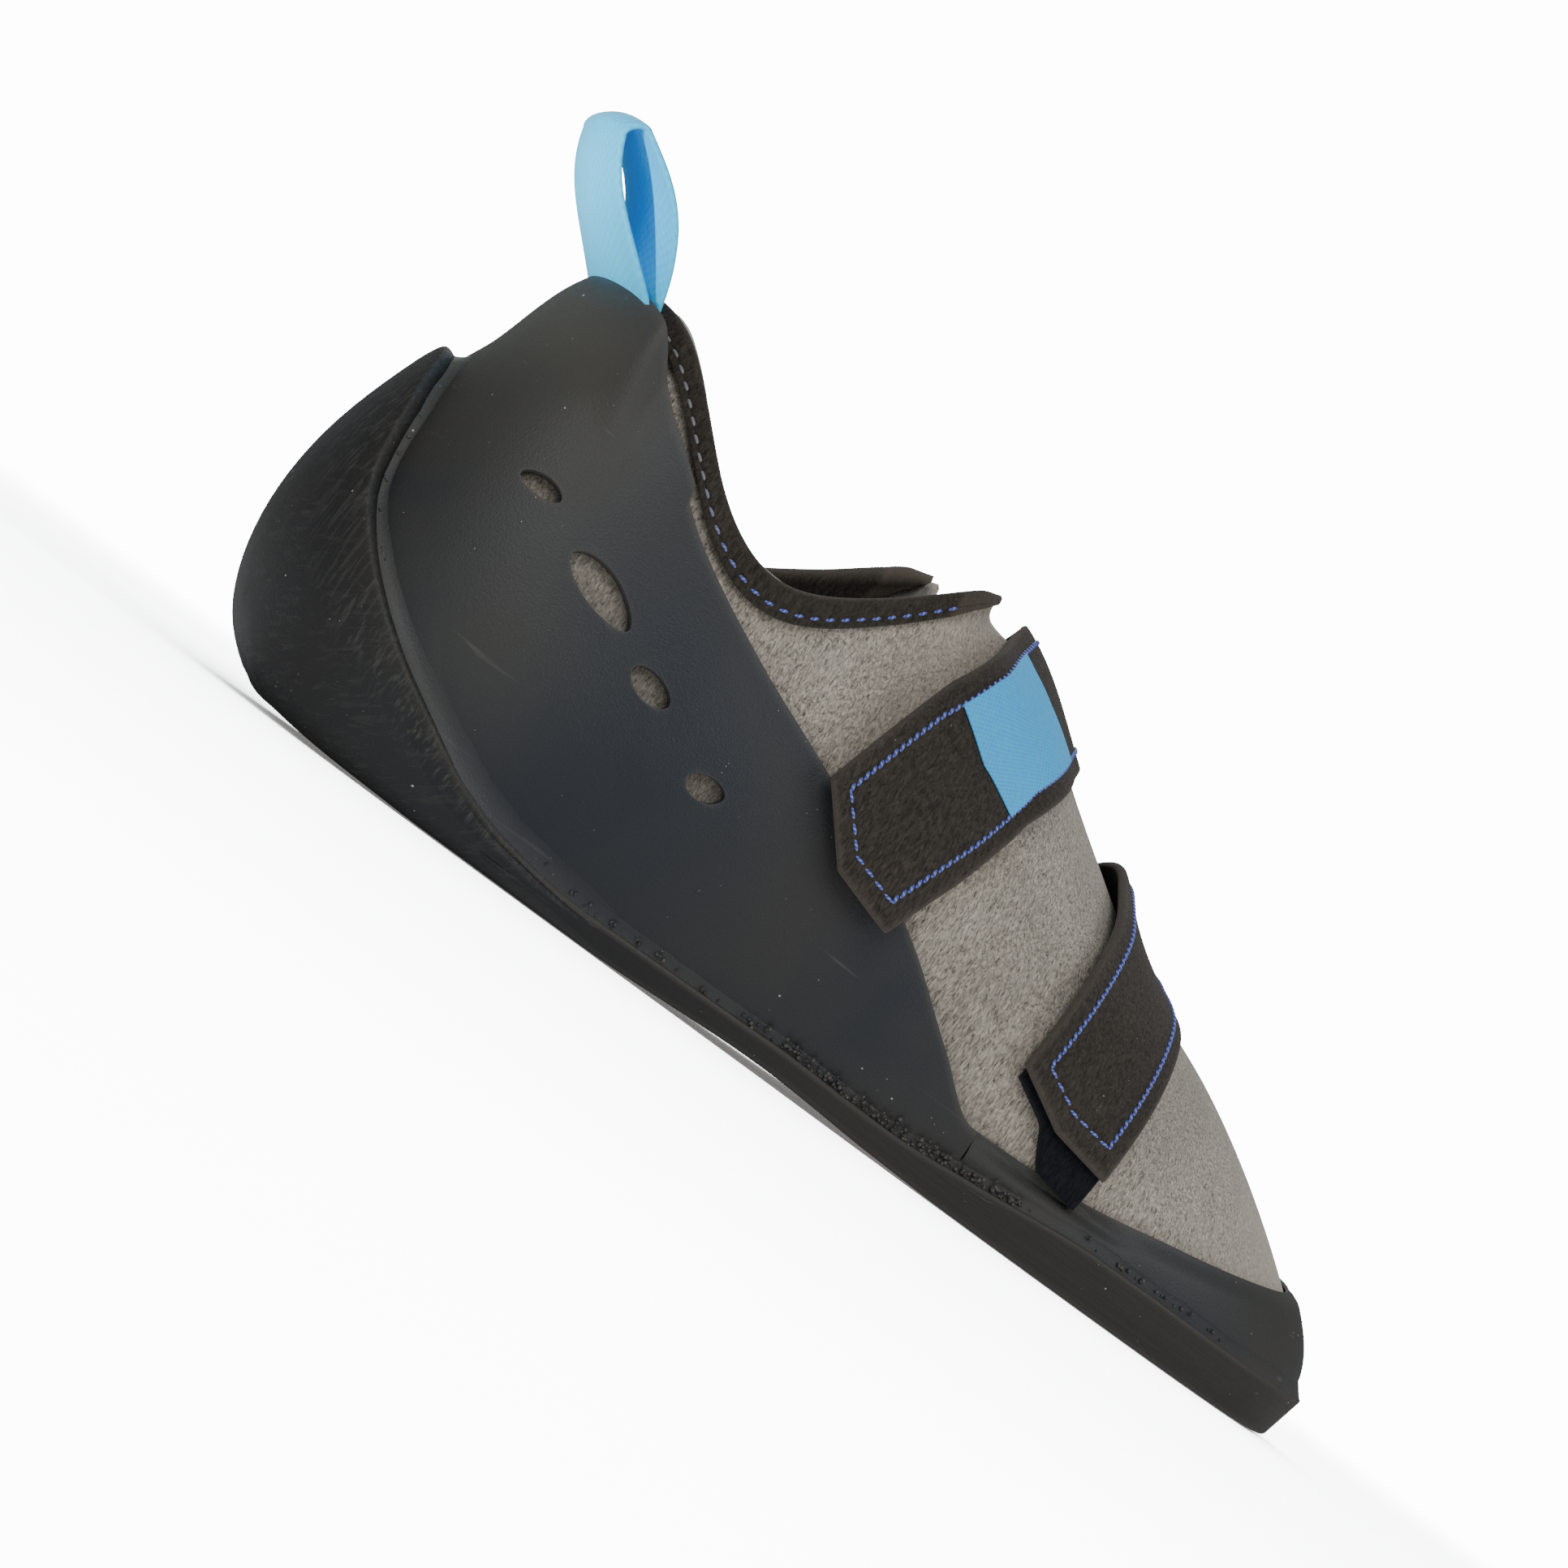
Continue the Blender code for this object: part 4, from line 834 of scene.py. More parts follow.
def rubber_finish(name, blue, brown, pale, roughness, dust=0.10, ground=None):
    """Blue-black rubber with brown clouds, olive where the piece says so, paler where it is worn and, on the
    sole's bottom, where light from below is painted in, dusty and scratched.  Ground rubber has fine lines
    round the sole, scuffs on the heel and lines on its rim."""
    made, tree, shader, place = new_finish(name, roughness, Specular_IOR_Level=0.42)
    spot = place.outputs["Object"]
    marks = use_group(tree, wear, spot)
    crumb = use_group(tree, wear, spot, Specks=900.0, Share=dust)
    body = mixed(tree, marks["Cloud"], blue, brown)
    body = mixed(tree, painted(tree, "olive"), body, tint(72, 71, 64))
    height = marks["Height"]
    rough = spread(tree, marks["Cloud"], 0, 1, roughness - 0.08, roughness + 0.10)
    if ground:
        grit = noise(tree, stretched(tree, spot, 60, 60, 2400), 1.0, 3, 0.65, 0.3)
        share = painted(tree, "ground")
        body = laid_on(tree, body, share, spread(tree, grit, 0.35, 0.7, 0.55, 1.0), ground)
        height = math_node(tree, "MULTIPLY_ADD", math_node(tree, "MULTIPLY", grit, share), 1.3, height)
        rough = math_node(tree, "MULTIPLY_ADD", share, 0.14, rough)
        slanting = add_node(tree, "ShaderNodeMapping", {"Rotation": (0.0, 0.72, 0.0)}, {"Vector": spot})
        rubs = noise(tree, stretched(tree, slanting.outputs[0], 40, 260, 900), 1.0, 4, 0.7, 0.5)
        rub = math_node(tree, "MULTIPLY", painted(tree, "scuff"), spread(tree, rubs, 0.52, 0.78))
        body = laid_on(tree, body, rub, 0.34, tint(84, 82, 78))
        bars = noise(tree, stretched(tree, spot, 1500, 1500, 70), 1.0, 2, 0.6)
        bar = math_node(tree, "MULTIPLY", painted(tree, "rim"), spread(tree, bars, 0.5, 0.72))
        body = laid_on(tree, body, bar, 0.5, tint(96, 94, 90))
        height = math_node(tree, "MULTIPLY_ADD", math_node(tree, "ADD", rub, bar), 0.8, height)
    # paler by the worn share: wear, and on the sole's bottom also painted light from below
    body = mixed(tree, painted(tree, "worn"), body, pale)
    body = laid_on(tree, body, marks["Scratches"], 0.20, tint(150, 148, 142))
    specks = math_node(tree, "MAXIMUM", marks["Specks"], crumb["Specks"])
    body = laid_on(tree, body, specks, 0.6, tint(214, 212, 206))
    tree.links.new(body, shader.inputs["Base Color"])
    tree.links.new(rough, shader.inputs["Roughness"])
    bumped(tree, shader, height, 0.09 * MM)
    return made


# blue, brown and worn colour, roughness, share of dust and colour of the ground rubber
HEEL_RUBBER = rubber_finish("heel_rand_rubber", tint(36, 41, 49), tint(53, 51, 48), tint(96, 93, 88), 0.48)
TOE_RUBBER = rubber_finish("toe_rand_rubber", tint(44, 48, 53), tint(54, 52, 49), tint(92, 90, 86), 0.48)
SOLE_RUBBER = rubber_finish("sole_rubber", tint(22, 25, 30), tint(33, 31, 29), tint(86, 82, 74), 0.46, 0.16,
                            tint(47, 44, 39))
GLUE = rubber_finish("glue_line", tint(36, 41, 49), tint(53, 51, 48), tint(98, 95, 89), 0.48, 0.3)

# %% Cloth and thread


def cloth_finish(name, dark, light, warp, weft, depth, sheen, roughness=0.85):
    """Threads over and under each other on the piece's own flat measure."""
    made, tree, shader, place = new_finish(name, roughness, Specular_IOR_Level=0.2, Sheen_Weight=sheen,
                                           Sheen_Roughness=0.4)
    threads = use_group(tree, weave, place.outputs["UV"], Warp=warp, Weft=weft)
    # the weave's painted shade laid between the dark and the light colour
    tree.links.new(mixed(tree, threads["Shade"], dark, light), shader.inputs["Base Color"])
    bumped(tree, shader, threads["Height"], depth)
    return made


# dark and light colour, threads per metre both ways, depth of the weave, sheen and roughness
WEBBING = cloth_finish("loop_webbing", tint(24, 188, 255), tint(76, 216, 255), 1500.0, 1150.0, 0.05 * MM, 0.3)
TAG = cloth_finish("tag_fabric", tint(40, 165, 255), tint(84, 206, 255), 2600.0, 2200.0, 0.06 * MM, 0.2, 0.6)
TONGUE = cloth_finish("tongue_fabric", tint(22, 20, 19), tint(54, 50, 46), 1200.0, 1200.0, 0.15 * MM, 0.2)
INSOLE = cloth_finish("insole_board", tint(96, 90, 80), tint(150, 142, 128), 1000.0, 1000.0, 0.12 * MM, 0.1)


COILS = 7200.0


def thread_finish(name, blue, bright, pale):
    """Two strands twisted round each other, banded from blue to a painted highlight along the twist; the
    thread fades to pale where the piece says so.
    """
    made, tree, shader, place = new_finish(name, 0.55, Specular_IOR_Level=0.35, Sheen_Weight=0.2)
    split = add_node(tree, "ShaderNodeSeparateXYZ", links={0: place.outputs["UV"]})
    coil = math_node(tree, "MULTIPLY_ADD", split.outputs[0], COILS, split.outputs[1])
    strand = math_node(tree, "MULTIPLY_ADD", math_node(tree, "SINE", coil), 0.5, 0.5)
    # painted highlight: the bright colour on the crown of each strand
    body = mixed(tree, strand, blue, bright)
    tree.links.new(mixed(tree, painted(tree, "worn"), body, pale), shader.inputs["Base Color"])
    bumped(tree, shader, strand, 0.12 * MM)
    return made


# blue, the painted highlight on the strands, and the pale of worn thread
THREAD = thread_finish("blue_thread", tint(64, 78, 168), tint(140, 156, 240), tint(132, 130, 134))
print("finishes:", len(bpy.data.materials))

# %% [markdown]
# ## Upper
# The upper is one shell of suede, pulled over the last and open at the collar, the throat and below.
# The leather is stretched, so it has few folds; the ones it has are soft, where the foot bends and where
# a strap pulls.  Each is listed: where it lies, which way it runs, how long, wide and deep it is.
# A fold is a trough with a low ridge on each side.  Under the rubber the leather is glued flat.  In front of
# the collar the leather ends in a free corner on each side, which curls up a little.

# %% Throat and rand line
AROUND = 440
TURNS = np.arange(AROUND) / AROUND
# along (share of the length) and half width of the throat, mm
THROAT = np.array([(0.40, 13.0), (0.52, 12.0), (0.59, 9.0), (0.64, 5.0), (0.675, 0.0)])
# path from heel to toe and height of the rands' top line, mm
RAND_LINE = np.array([
    (0.00, 86.5), (0.06, 85.0), (0.13, 76.0), (0.20, 64.0), (0.25, 58.0), (0.29, 54.0), (0.37, 46.0),
    (0.44, 35.0), (0.50, 22.0), (0.545, 14.0), (0.62, 14.5), (0.72, 18.0), (0.83, 22.3), (0.92, 24.7),
    (1.00, 25.2),
])
SKIRT = 4.8 * MM
BELOW_SKIRT = SKIRT + 0.6 * MM


def throat_half_width(turn):
    """Half width of the slit along the ridge, 0 where the collar is open."""
    along = ridge_line(turn)[..., 0] / LAST_LENGTH
    width = np.interp(along, THROAT[:, 0], THROAT[:, 1], left=0) * MM
    return np.where(np.abs(half_opening(turn)) > COLLAR_HALF, 0, width)


def top_rise(turn):
    """Rise of the upper's own top edge: 1 on the collar and the vamp, less beside the throat."""
    width = throat_half_width(turn)
    return np.where(width > 0, rise_beside_ridge(turn, width), 1.0)


def rand_top(turn):
    """Rise of the rand's top line: its height above the ground, kept under the collar binding."""
    height = on_path(RAND_LINE[:, 0], RAND_LINE[:, 1] * MM, turn)
    collar = path_of(turn) < 2 * COLLAR_END + 0.02
    limit = np.where(collar, rise_below_top(turn, BELOW_SKIRT), 1)
    return np.minimum(rise_at_height(turn, height), limit)


# %% Creases
# along (share of the length), height mm, heading in degrees (0 to the toe, 90 up), length, width, depth mm
CREASES = np.array([
    (0.330, 60, 20, 26, 3.0, 0.55), (0.375, 56, 58, 20, 2.6, 0.50), (0.430, 62, 70, 16, 2.4, 0.45),
    (0.545, 47, 63, 34, 4.6, 0.85), (0.585, 41, 60, 30, 3.6, 0.70), (0.600, 30, 42, 20, 2.6, 0.50),
    (0.700, 43, 64, 16, 3.0, 0.45), (0.775, 33, 58, 22, 4.0, 0.50), (0.835, 29, 44, 18, 3.4, 0.45),
])


def creased(points, rise, floor_rise):
    """How far each point moves: minus a bell across the fold plus a lower bell on either side of it,
    all faded along the fold, away from it, and below the line where the rubber begins."""
    move = np.zeros(points.shape[:2])
    for along, height, heading, length, width, depth in CREASES:
        middle, out, ahead, up = axes_at(*outer_mark(along, height * MM))
        c, s = math.cos(math.radians(heading)), math.sin(math.radians(heading))
        away = points - middle
        run = away @ (ahead * c + up * s)
        across = away @ (up * c - ahead * s) / (width * MM)
        shape = -bell(across, 0, 1) + 0.42 * (bell(across, 1.9, 1) + bell(across, -1.9, 1))
        ends = np.exp(-(run / (length * MM / 2)) ** 4) * bell(away @ out, 0, 14 * MM)
        move += depth * MM * shape * ends
    return move * blend(0.015, 0.09, rise - floor_rise)


# %% Free corner of the collar
CORNER_LIFT, CORNER_SKIRT = 2.4 * MM, 11 * MM


def corner_curl(turn, rise):
    """The corner in front of the collar is free and curls up: it grows towards the corner, ends soon past
    it, and grows over the last 11 mm below the edge."""
    near = 0.5 * path_of(turn)
    growing = blend(COLLAR_END - 0.034, COLLAR_END - 0.003, near)
    along = growing * (1 - blend(COLLAR_END + 0.001, COLLAR_END + 0.014, near))
    start = rise_below_top(turn, CORNER_SKIRT)
    return CORNER_LIFT * along[:, None] * blend(0, 1, (rise - start[:, None]) / (1 - start[:, None]))


# %% Shell of the upper
# slots of the heel rand: along (share of the length), height, length and width in millimetres
RAND_SLOTS = np.array([(0.090, 54.5, 7.5, 3.6), (0.158, 47.0, 15.0, 6.2), (0.220, 39.5, 8.6, 4.6),
                       (0.290, 32.0, 7.4, 4.2)])
upper_top = top_rise(TURNS)
upper_rise = upper_top[:, None] * np.linspace(0, 1, 65)[None, :]
upper_plain = last(TURNS[:, None], upper_rise)
fold = creased(upper_plain, upper_rise, rand_top(TURNS)[:, None]) + corner_curl(TURNS, upper_rise)
upper_outer = skin(TURNS[:, None], upper_rise, fold)
upper_inner = skin(TURNS[:, None], upper_rise, fold - UPPER_WALL)
mirror = (-np.arange(AROUND)) % AROUND
shared = np.flatnonzero(on_vamp(TURNS) & (upper_top >= 1) & (TURNS > 0.5))
upper_outer[shared, -1] = upper_outer[mirror[shared], -1]
upper_inner[shared, -1] = upper_inner[mirror[shared], -1]
points, corners, tags = sheet_faces(upper_outer, upper_inner, True)
share_along = points[:, 0] / LAST_LENGTH
upper_worn = (0.55 * blend(0.74, 0.94, share_along)
              + 0.25 * blend(0.34, 0.40, share_along) * blend(0.46, 0.38, share_along))
# Painted shade: the suede is darkened round the middle of each slot of the heel rand, where the slot lies in
# shade.
slot_shade = np.zeros(len(points))
for along, height, length, width in RAND_SLOTS:
    middle = last(*outer_mark(along, height * MM))
    slot_shade += 0.5 * bell(np.linalg.norm(points - middle, axis=-1), 0, 0.7 * length * MM)
add_piece("upper_suede", points, corners, [SUEDE, LINING], ["upper"],
          attributes={"worn": upper_worn, "painted_shade": slot_shade}, tags=(tags == 1))

# %% [markdown]
# ## Rubber rands
# A rand is a strip of rubber, stretched round the shoe while it is on the last and glued.  The heel rand
# pulls the heel forwards; four slots in its outer side save weight and let the suede show through.  A
# slot is cut by leaving out a block of the grid's cells and filling the block with rings of cells that
# shrink from the block's border to the slot's outline, so its rim is clean.  At the back the rand runs up
# over the ends of the pull loop.

# %% Slots
LENS_POWER, RINGS, BLOCK_SPARE = 1.85, 7, 3


def slot_patch(turns, rises, along, height, length, width):
    """A slot's block of cells and the rings inside it.

    A point's place in the slot is a half lengths along the rand and b half widths across it, worked out
    from turn and rise with the slopes of the last at the slot's middle.  The outline is |a|^p + |b|^p = 1.
    Each point of the block's border is drawn straight towards the middle until it reaches the outline.
    """
    turn, rise = outer_mark(along, height * MM)
    by_turn = (last(turn + 1e-3, rise) - last(turn - 1e-3, rise)) / 2e-3
    by_rise = (last(turn, rise + 1e-3) - last(turn, rise - 1e-3)) / 2e-3
    out = outward(turn, rise)
    ahead = unit(by_turn)
    across = np.cross(out, ahead)
    slopes = np.array([[by_turn @ ahead, by_rise @ ahead], [by_turn @ across, by_rise @ across]])
    size = np.array([length, width]) * MM / 2
    away = np.stack([turns[:, None] - turn + 0 * rises, rises - rise], -1)
    place = away @ slopes.T / size
    ratio = (np.abs(place) ** LENS_POWER).sum(-1) ** (1 / LENS_POWER)
    rows, levels = np.nonzero(ratio < 1)
    i0, i1 = rows.min() - BLOCK_SPARE, rows.max() + BLOCK_SPARE
    j0, j1 = levels.min() - BLOCK_SPARE, levels.max() + BLOCK_SPARE
    block = numbered(*ratio.shape)[i0:i1 + 1, j0:j1 + 1]
    border = np.concatenate([block[:-1, 0], block[-1, :-1], block[:0:-1, -1], block[0, :0:-1]])
    far = away.reshape(-1, 2)[border]
    near = far / ratio.reshape(-1)[border][:, None]
    share = (np.linspace(0, 1, RINGS + 1)[1:] ** 0.8)[None, :, None]
    ring = far[:, None] * (1 - share) + near[:, None] * share + np.array([turn, rise])
    gone = np.zeros((ratio.shape[0] - 1, ratio.shape[1] - 1), bool)
    gone[i0:i1, j0:j1] = True
    return gone.ravel(), border, ring


# %% Heel rand
SEAM_TURN, SEAM_GAP = 0.274, 0.0006
START_RISE = 0.02
LOOP_TURN = 0.010
HEEL_LEVELS, TOE_LEVELS = 92, 26


def rand_rises(top, levels):
    """Rise of every point of a rand, from its foot under the sole to its top line."""
    return START_RISE + (top[:, None] - START_RISE) * np.linspace(0, 1, levels + 1)[None, :]


def olive_share(points):
    """How olive the rubber is: most near the top of the heel, some lower down ahead of it."""
    along, height = points[..., 0] / LAST_LENGTH, points[..., 2] / MM
    return (0.85 * bell(along, 0.05, 0.08) * bell(height, 72, 20)
            + 0.5 * bell(along, 0.12, 0.06) * bell(height, 32, 16))


heel_turns = np.linspace(-SEAM_TURN, SEAM_TURN, 431)
by_loop = 1 - blend(0.036, 0.050, np.abs(heel_turns - LOOP_TURN))
sliver = bell(np.abs(heel_turns), 0.066, 0.015) * 2.2 * MM
heel_top = rand_top(heel_turns)
lip_line = rise_below_top(heel_turns, BELOW_SKIRT - 2.6 * MM * by_loop + sliver)
heel_top = np.where(np.abs(heel_turns) < 0.09, lip_line, heel_top)
heel_rise = rand_rises(heel_top, HEEL_LEVELS)
heel_tall = np.linalg.norm(last(heel_turns, heel_top) - last(heel_turns, START_RISE), axis=-1)
below = np.linspace(1, 0, HEEL_LEVELS + 1)[None, :] * heel_tall[:, None]
bulge = 3.2 * MM * by_loop[:, None] * (1 - blend(1.5 * MM, 15 * MM, below))
heel_outer = skin(heel_turns[:, None], heel_rise, OUTER_RAND + bulge).reshape(-1, 3)
heel_inner = skin(heel_turns[:, None], heel_rise, RAND_GAP + bulge).reshape(-1, 3)
heel_face = cells(numbered(*heel_rise.shape))
heel_worn = (0.30 * bell(below, 0, 1.0 * MM)).ravel()
cut = np.zeros(len(heel_face), bool)
patches = []
for row in RAND_SLOTS:
    gone, border, ring = slot_patch(heel_turns, heel_rise, *row)
    cut |= gone
    index = np.hstack([border[:, None], numbered(len(border), RINGS, len(heel_outer))])
    patches.append(cells(index, True))
    ring_turn, ring_rise = ring[..., 0].ravel(), ring[..., 1].ravel()
    heel_outer = np.concatenate([heel_outer, skin(ring_turn, ring_rise, OUTER_RAND)])
    heel_inner = np.concatenate([heel_inner, skin(ring_turn, ring_rise, RAND_GAP)])
    heel_worn = np.concatenate([heel_worn, np.tile(0.25 * np.linspace(0, 1, RINGS) ** 6, len(border))])
points, corners, _ = thickened(heel_outer, heel_inner, np.concatenate([heel_face[~cut]] + patches))
used = np.unique(corners)
renumber = np.zeros(len(points), int)
renumber[used] = np.arange(len(used))
heel_rand = add_piece("heel_rand_rubber", points[used], renumber[corners], HEEL_RUBBER, ["heel_rand"],
                      attributes={"worn": np.tile(heel_worn, 2)[used],
                                                      "olive": np.tile(olive_share(heel_outer), 2)[used]})
round_edges(heel_rand, RAND_EDGE)

# %% [markdown]
# The toe rand meets the heel rand at a seam under the front strap.  Just ahead of the seam the rubber was
# pressed in along a shallow groove, where the strip is drawn tight over the edge of the foot.  Its top
# edge is skived thin, so that it lies flat on the suede.

# %% Toe rand
GROOVE_ALONG, GROOVE_HEIGHT, GROOVE_DEPTH = 0.665, 13.2 * MM, 1.15 * MM
EDGE_THINNED = 1.15 * MM
toe_turns = np.linspace(SEAM_TURN + SEAM_GAP, 1 - SEAM_TURN - SEAM_GAP, 421)
toe_rise = rand_rises(rand_top(toe_turns), TOE_LEVELS)
toe_points = skin(toe_turns[:, None], toe_rise, OUTER_RAND)
middle, _, ahead, up = axes_at(*outer_mark(GROOVE_ALONG, GROOVE_HEIGHT))
away = toe_points - middle
run = (away @ ahead) / (15 * MM)
across = (away @ up - 1.2 * MM * run) / (1.5 * MM)
groove = GROOVE_DEPTH * bell(across, 0, 1) * np.exp(-np.abs(run) ** 4) * (away[..., 1] < 30 * MM)
toe_below = np.linalg.norm(toe_points - toe_points[:, -1:], axis=-1)
thinned = EDGE_THINNED * (1 - blend(0, 4.5 * MM, toe_below))
toe_outer = skin(toe_turns[:, None], toe_rise, OUTER_RAND - groove - thinned)
toe_inner = skin(toe_turns[:, None], toe_rise, RAND_GAP)
points, corners, _ = sheet_faces(toe_outer, toe_inner)
toe_worn = np.broadcast_to(0.25 * np.linspace(0, 1, TOE_LEVELS + 1)[None, :] ** 14, toe_rise.shape)
toe_rand = add_piece("toe_rand_rubber", points, corners, TOE_RUBBER, ["toe_rand"],
                     attributes={"worn": np.tile(toe_worn.ravel(), 2)})
round_edges(toe_rand, RAND_EDGE)

# %% [markdown]
# ## Outsole
# The sole is one sheet of smooth rubber.  Round the forefoot its edge is ground to a band that leans in
# towards the bottom; at the back it is wrapped up over the heel.  Its side is a profile carried round the
# last: up the inside, over a rounded lip, down the outside on a smooth curve and round the bottom edge.
# Top and bottom run straight across from one side to the other.

# %% Profile helpers


def spline_weights(knots, at):
    """Weights of the knots' values in a natural cubic spline, which is straight through straight data."""
    count = len(knots)
    h = np.diff(knots)
    i = np.arange(1, count - 1)
    matrix, right, one = np.eye(count), np.zeros((count, count)), np.eye(count)
    matrix[i, i - 1], matrix[i, i], matrix[i, i + 1] = h[:-1], 2 * (h[:-1] + h[1:]), h[1:]
    right[i, i - 1], right[i, i], right[i, i + 1] = 6 / h[:-1], -6 / h[:-1] - 6 / h[1:], 6 / h[1:]
    bend = np.linalg.solve(matrix, right)
    k = np.clip(np.searchsorted(knots, at, side="right") - 1, 0, count - 2)
    s, step = (at - knots[k])[..., None], h[k][..., None]
    first = (one[k + 1] - one[k]) / step - step * (2 * bend[k] + bend[k + 1]) / 6
    return one[k] + s * first + s ** 2 * bend[k] / 2 + s ** 3 * (bend[k + 1] - bend[k]) / (6 * step)


def rounded_corner(corner, one_way, other_way, radius, count):
    """A corner drawn round: a curve from a radius along one way to a radius along the other, pulled
    towards the corner."""
    q = np.linspace(0, 1, count)[None, :, None]
    a = corner + unit(one_way) * radius[:, None]
    b = corner + unit(other_way) * radius[:, None]
    return (1 - q) ** 2 * a[:, None] + 2 * q * (1 - q) * corner[:, None] + q ** 2 * b[:, None]


def crossing(edge, parts):
    """Grid of straight strips from each point of one side to the point across from it."""
    half = len(edge) // 2
    share = np.linspace(0, 1, parts + 1)[None, :, None]
    near = edge[:half + 1]
    far = edge[(-np.arange(half + 1)) % len(edge)]
    return near[:, None] * (1 - share) + far[:, None] * share


# %% Side of the sole
HEEL_WRAP_PATH = (0.17, 0.30)
WRAP_LEVELS = np.linspace(0, 0.72, 11)
WRAP_THICK = 3.4 * MM
SIDE_SHARES = (0.8, 0.6, 0.4, 0.2)
sole_plan, sole_out, sole_floor = edge_plan(TURNS), edge_outward(TURNS), floor_height(TURNS)
wrap = 1 - blend(*HEEL_WRAP_PATH, path_of(TURNS))
sole_side = np.maximum(sole_row("side", TURNS), sole_floor + SOLE_THICKNESS + 1.0 * MM)
sole_top = rise_at_height(TURNS, sole_side)
clear = OUTER_RAND + GAP + 0.2 * MM * wrap
lip = sole_row("lip", TURNS)
plate = np.stack([sole_plan[:, 0], sole_plan[:, 1], sole_floor + SOLE_THICKNESS], -1)
inside = np.stack([skin(TURNS, np.minimum(sole_top, level), clear) for level in WRAP_LEVELS]
                  + [skin(TURNS, sole_top, clear)], 1)
inside[:, 0, 2] = np.maximum(inside[:, 0, 2], sole_floor + 1.2 * MM)
reach = (clear + lip - sole_row("bevel", TURNS)) * (1 - wrap) + 2.6 * MM * wrap
bottom = np.concatenate([sole_plan + sole_out * reach[:, None], sole_floor[:, None]], 1)
ledge = skin(TURNS, sole_top, clear + lip)
wrapped = [skin(TURNS, np.maximum(sole_top * s, 0.03),
                clear + lip + (WRAP_THICK - lip) * blend(0.0, 0.5, 1 - s)) for s in SIDE_SHARES]
straight = [bottom + (ledge - bottom) * s for s in SIDE_SHARES]
between = [a * wrap[:, None] + b * (1 - wrap[:, None]) for a, b in zip(wrapped, straight)]
side_knots = np.stack([ledge] + between + [bottom], 1)
side_length = np.linalg.norm(np.diff(side_knots, axis=1), axis=-1).sum(1)
lip_radius = np.minimum(0.9 * MM + 0.7 * MM * wrap, 0.85 * lip)
edge_radius = 1.0 * MM + 1.4 * MM * wrap
start, stop = lip_radius / side_length, 1 - edge_radius / side_length
at = start[:, None] + (stop - start)[:, None] * np.linspace(0, 1, 25)[None, 1:-1]
outside = np.einsum("nmk,nkc->nmc", spline_weights(np.linspace(0, 1, side_knots.shape[1]), at), side_knots)
level_in = np.concatenate([-sole_out, np.zeros((AROUND, 1))], 1)
lip_round = rounded_corner(ledge, inside[:, -1] - ledge, side_knots[:, 1] - ledge, lip_radius, 5)
edge_round = rounded_corner(bottom, side_knots[:, -2] - bottom, level_in, edge_radius, 7)
sole_profile = np.concatenate([plate[:, None], inside, lip_round, outside, edge_round], 1)
print("points in the sole's profile:", sole_profile.shape[1])

# %% Sole rubber
columns = sole_profile.shape[1]
lip_column = 1 + inside.shape[1]
side_index = numbered(AROUND, columns)
under = crossing(sole_profile[:, -1], 14)
over = crossing(sole_profile[:, 0], 4)
under_index = numbered(*under.shape[:2], side_index.size)
over_index = numbered(*over.shape[:2], side_index.size + under_index.size)
points = np.concatenate([sole_profile.reshape(-1, 3), under.reshape(-1, 3), over.reshape(-1, 3)])
corners = np.concatenate([cells(side_index, True)[:, ::-1], cells(under_index)[:, ::-1], cells(over_index)])
column = np.arange(columns)[None, :]
outside_face = column >= lip_column
on_side = outside_face * (1 - blend(columns - 4, columns - 1, column))
ground = (on_side * (0.15 + 0.85 * blend(0.30, 0.50, path_of(TURNS)))[:, None]
          + 0.45 * wrap[:, None] * bell(column, lip_column + 3, 4) * outside_face)
edge_worn = 0.34 * bell(column, columns - 4, 2.2) * (0.4 + 0.6 * blend(0.45, 0.6, path_of(TURNS)))[:, None]
rim_worn = 0.40 * bell(column, lip_column + 2, 1.8) * (1 - 0.8 * wrap)[:, None]
scuff = outside_face * wrap[:, None]
rim = wrap[:, None] * bell(column, lip_column + 6, 5.0) * outside_face
# Painted light and wear: the whole bottom is paler, standing in for light from below as well as for scuffs.
bottom_lit_and_worn = np.repeat([0.22, 0], [under_index.size, over_index.size])
add_piece("outsole_rubber", points, corners, SOLE_RUBBER, ["outsole"], attributes={
    key: np.concatenate([values.ravel(), bottom_lit_and_worn * (key == "worn")]) for key, values in
    (("ground", ground), ("worn", edge_worn + rim_worn), ("scuff", scuff), ("rim", rim))})

# %% [markdown]
# The insole is a thin board that lies on the sole, cut a little smaller than the edge of the foot.

# %% Insole board
INSOLE_THICK, INSOLE_PARTS = 2.2 * MM, 10
insole_edge = edge_plan(TURNS) - edge_outward(TURNS) * INSOLE_INSET
insole_low = np.concatenate([insole_edge, (floor_height(TURNS) + SOLE_THICKNESS + GAP)[:, None]], 1)
insole_rows = np.stack([insole_low + np.array([0, 0, INSOLE_THICK]), insole_low], 1)
top_strip, low_strip = (crossing(insole_rows[:, k], INSOLE_PARTS) for k in (0, 1))
side_index = numbered(AROUND, 2)
top_index = numbered(*top_strip.shape[:2], side_index.size)
low_index = top_index + top_index.size
points = np.concatenate([insole_rows.reshape(-1, 3), top_strip.reshape(-1, 3), low_strip.reshape(-1, 3)])
corners = np.concatenate([cells(side_index, True)[:, ::-1], cells(top_index), cells(low_index)[:, ::-1]])
insole = add_piece("insole_board", points, corners, INSOLE, ["insole"], uv=points[:, :2])
round_edges(insole, 0.4 * MM)

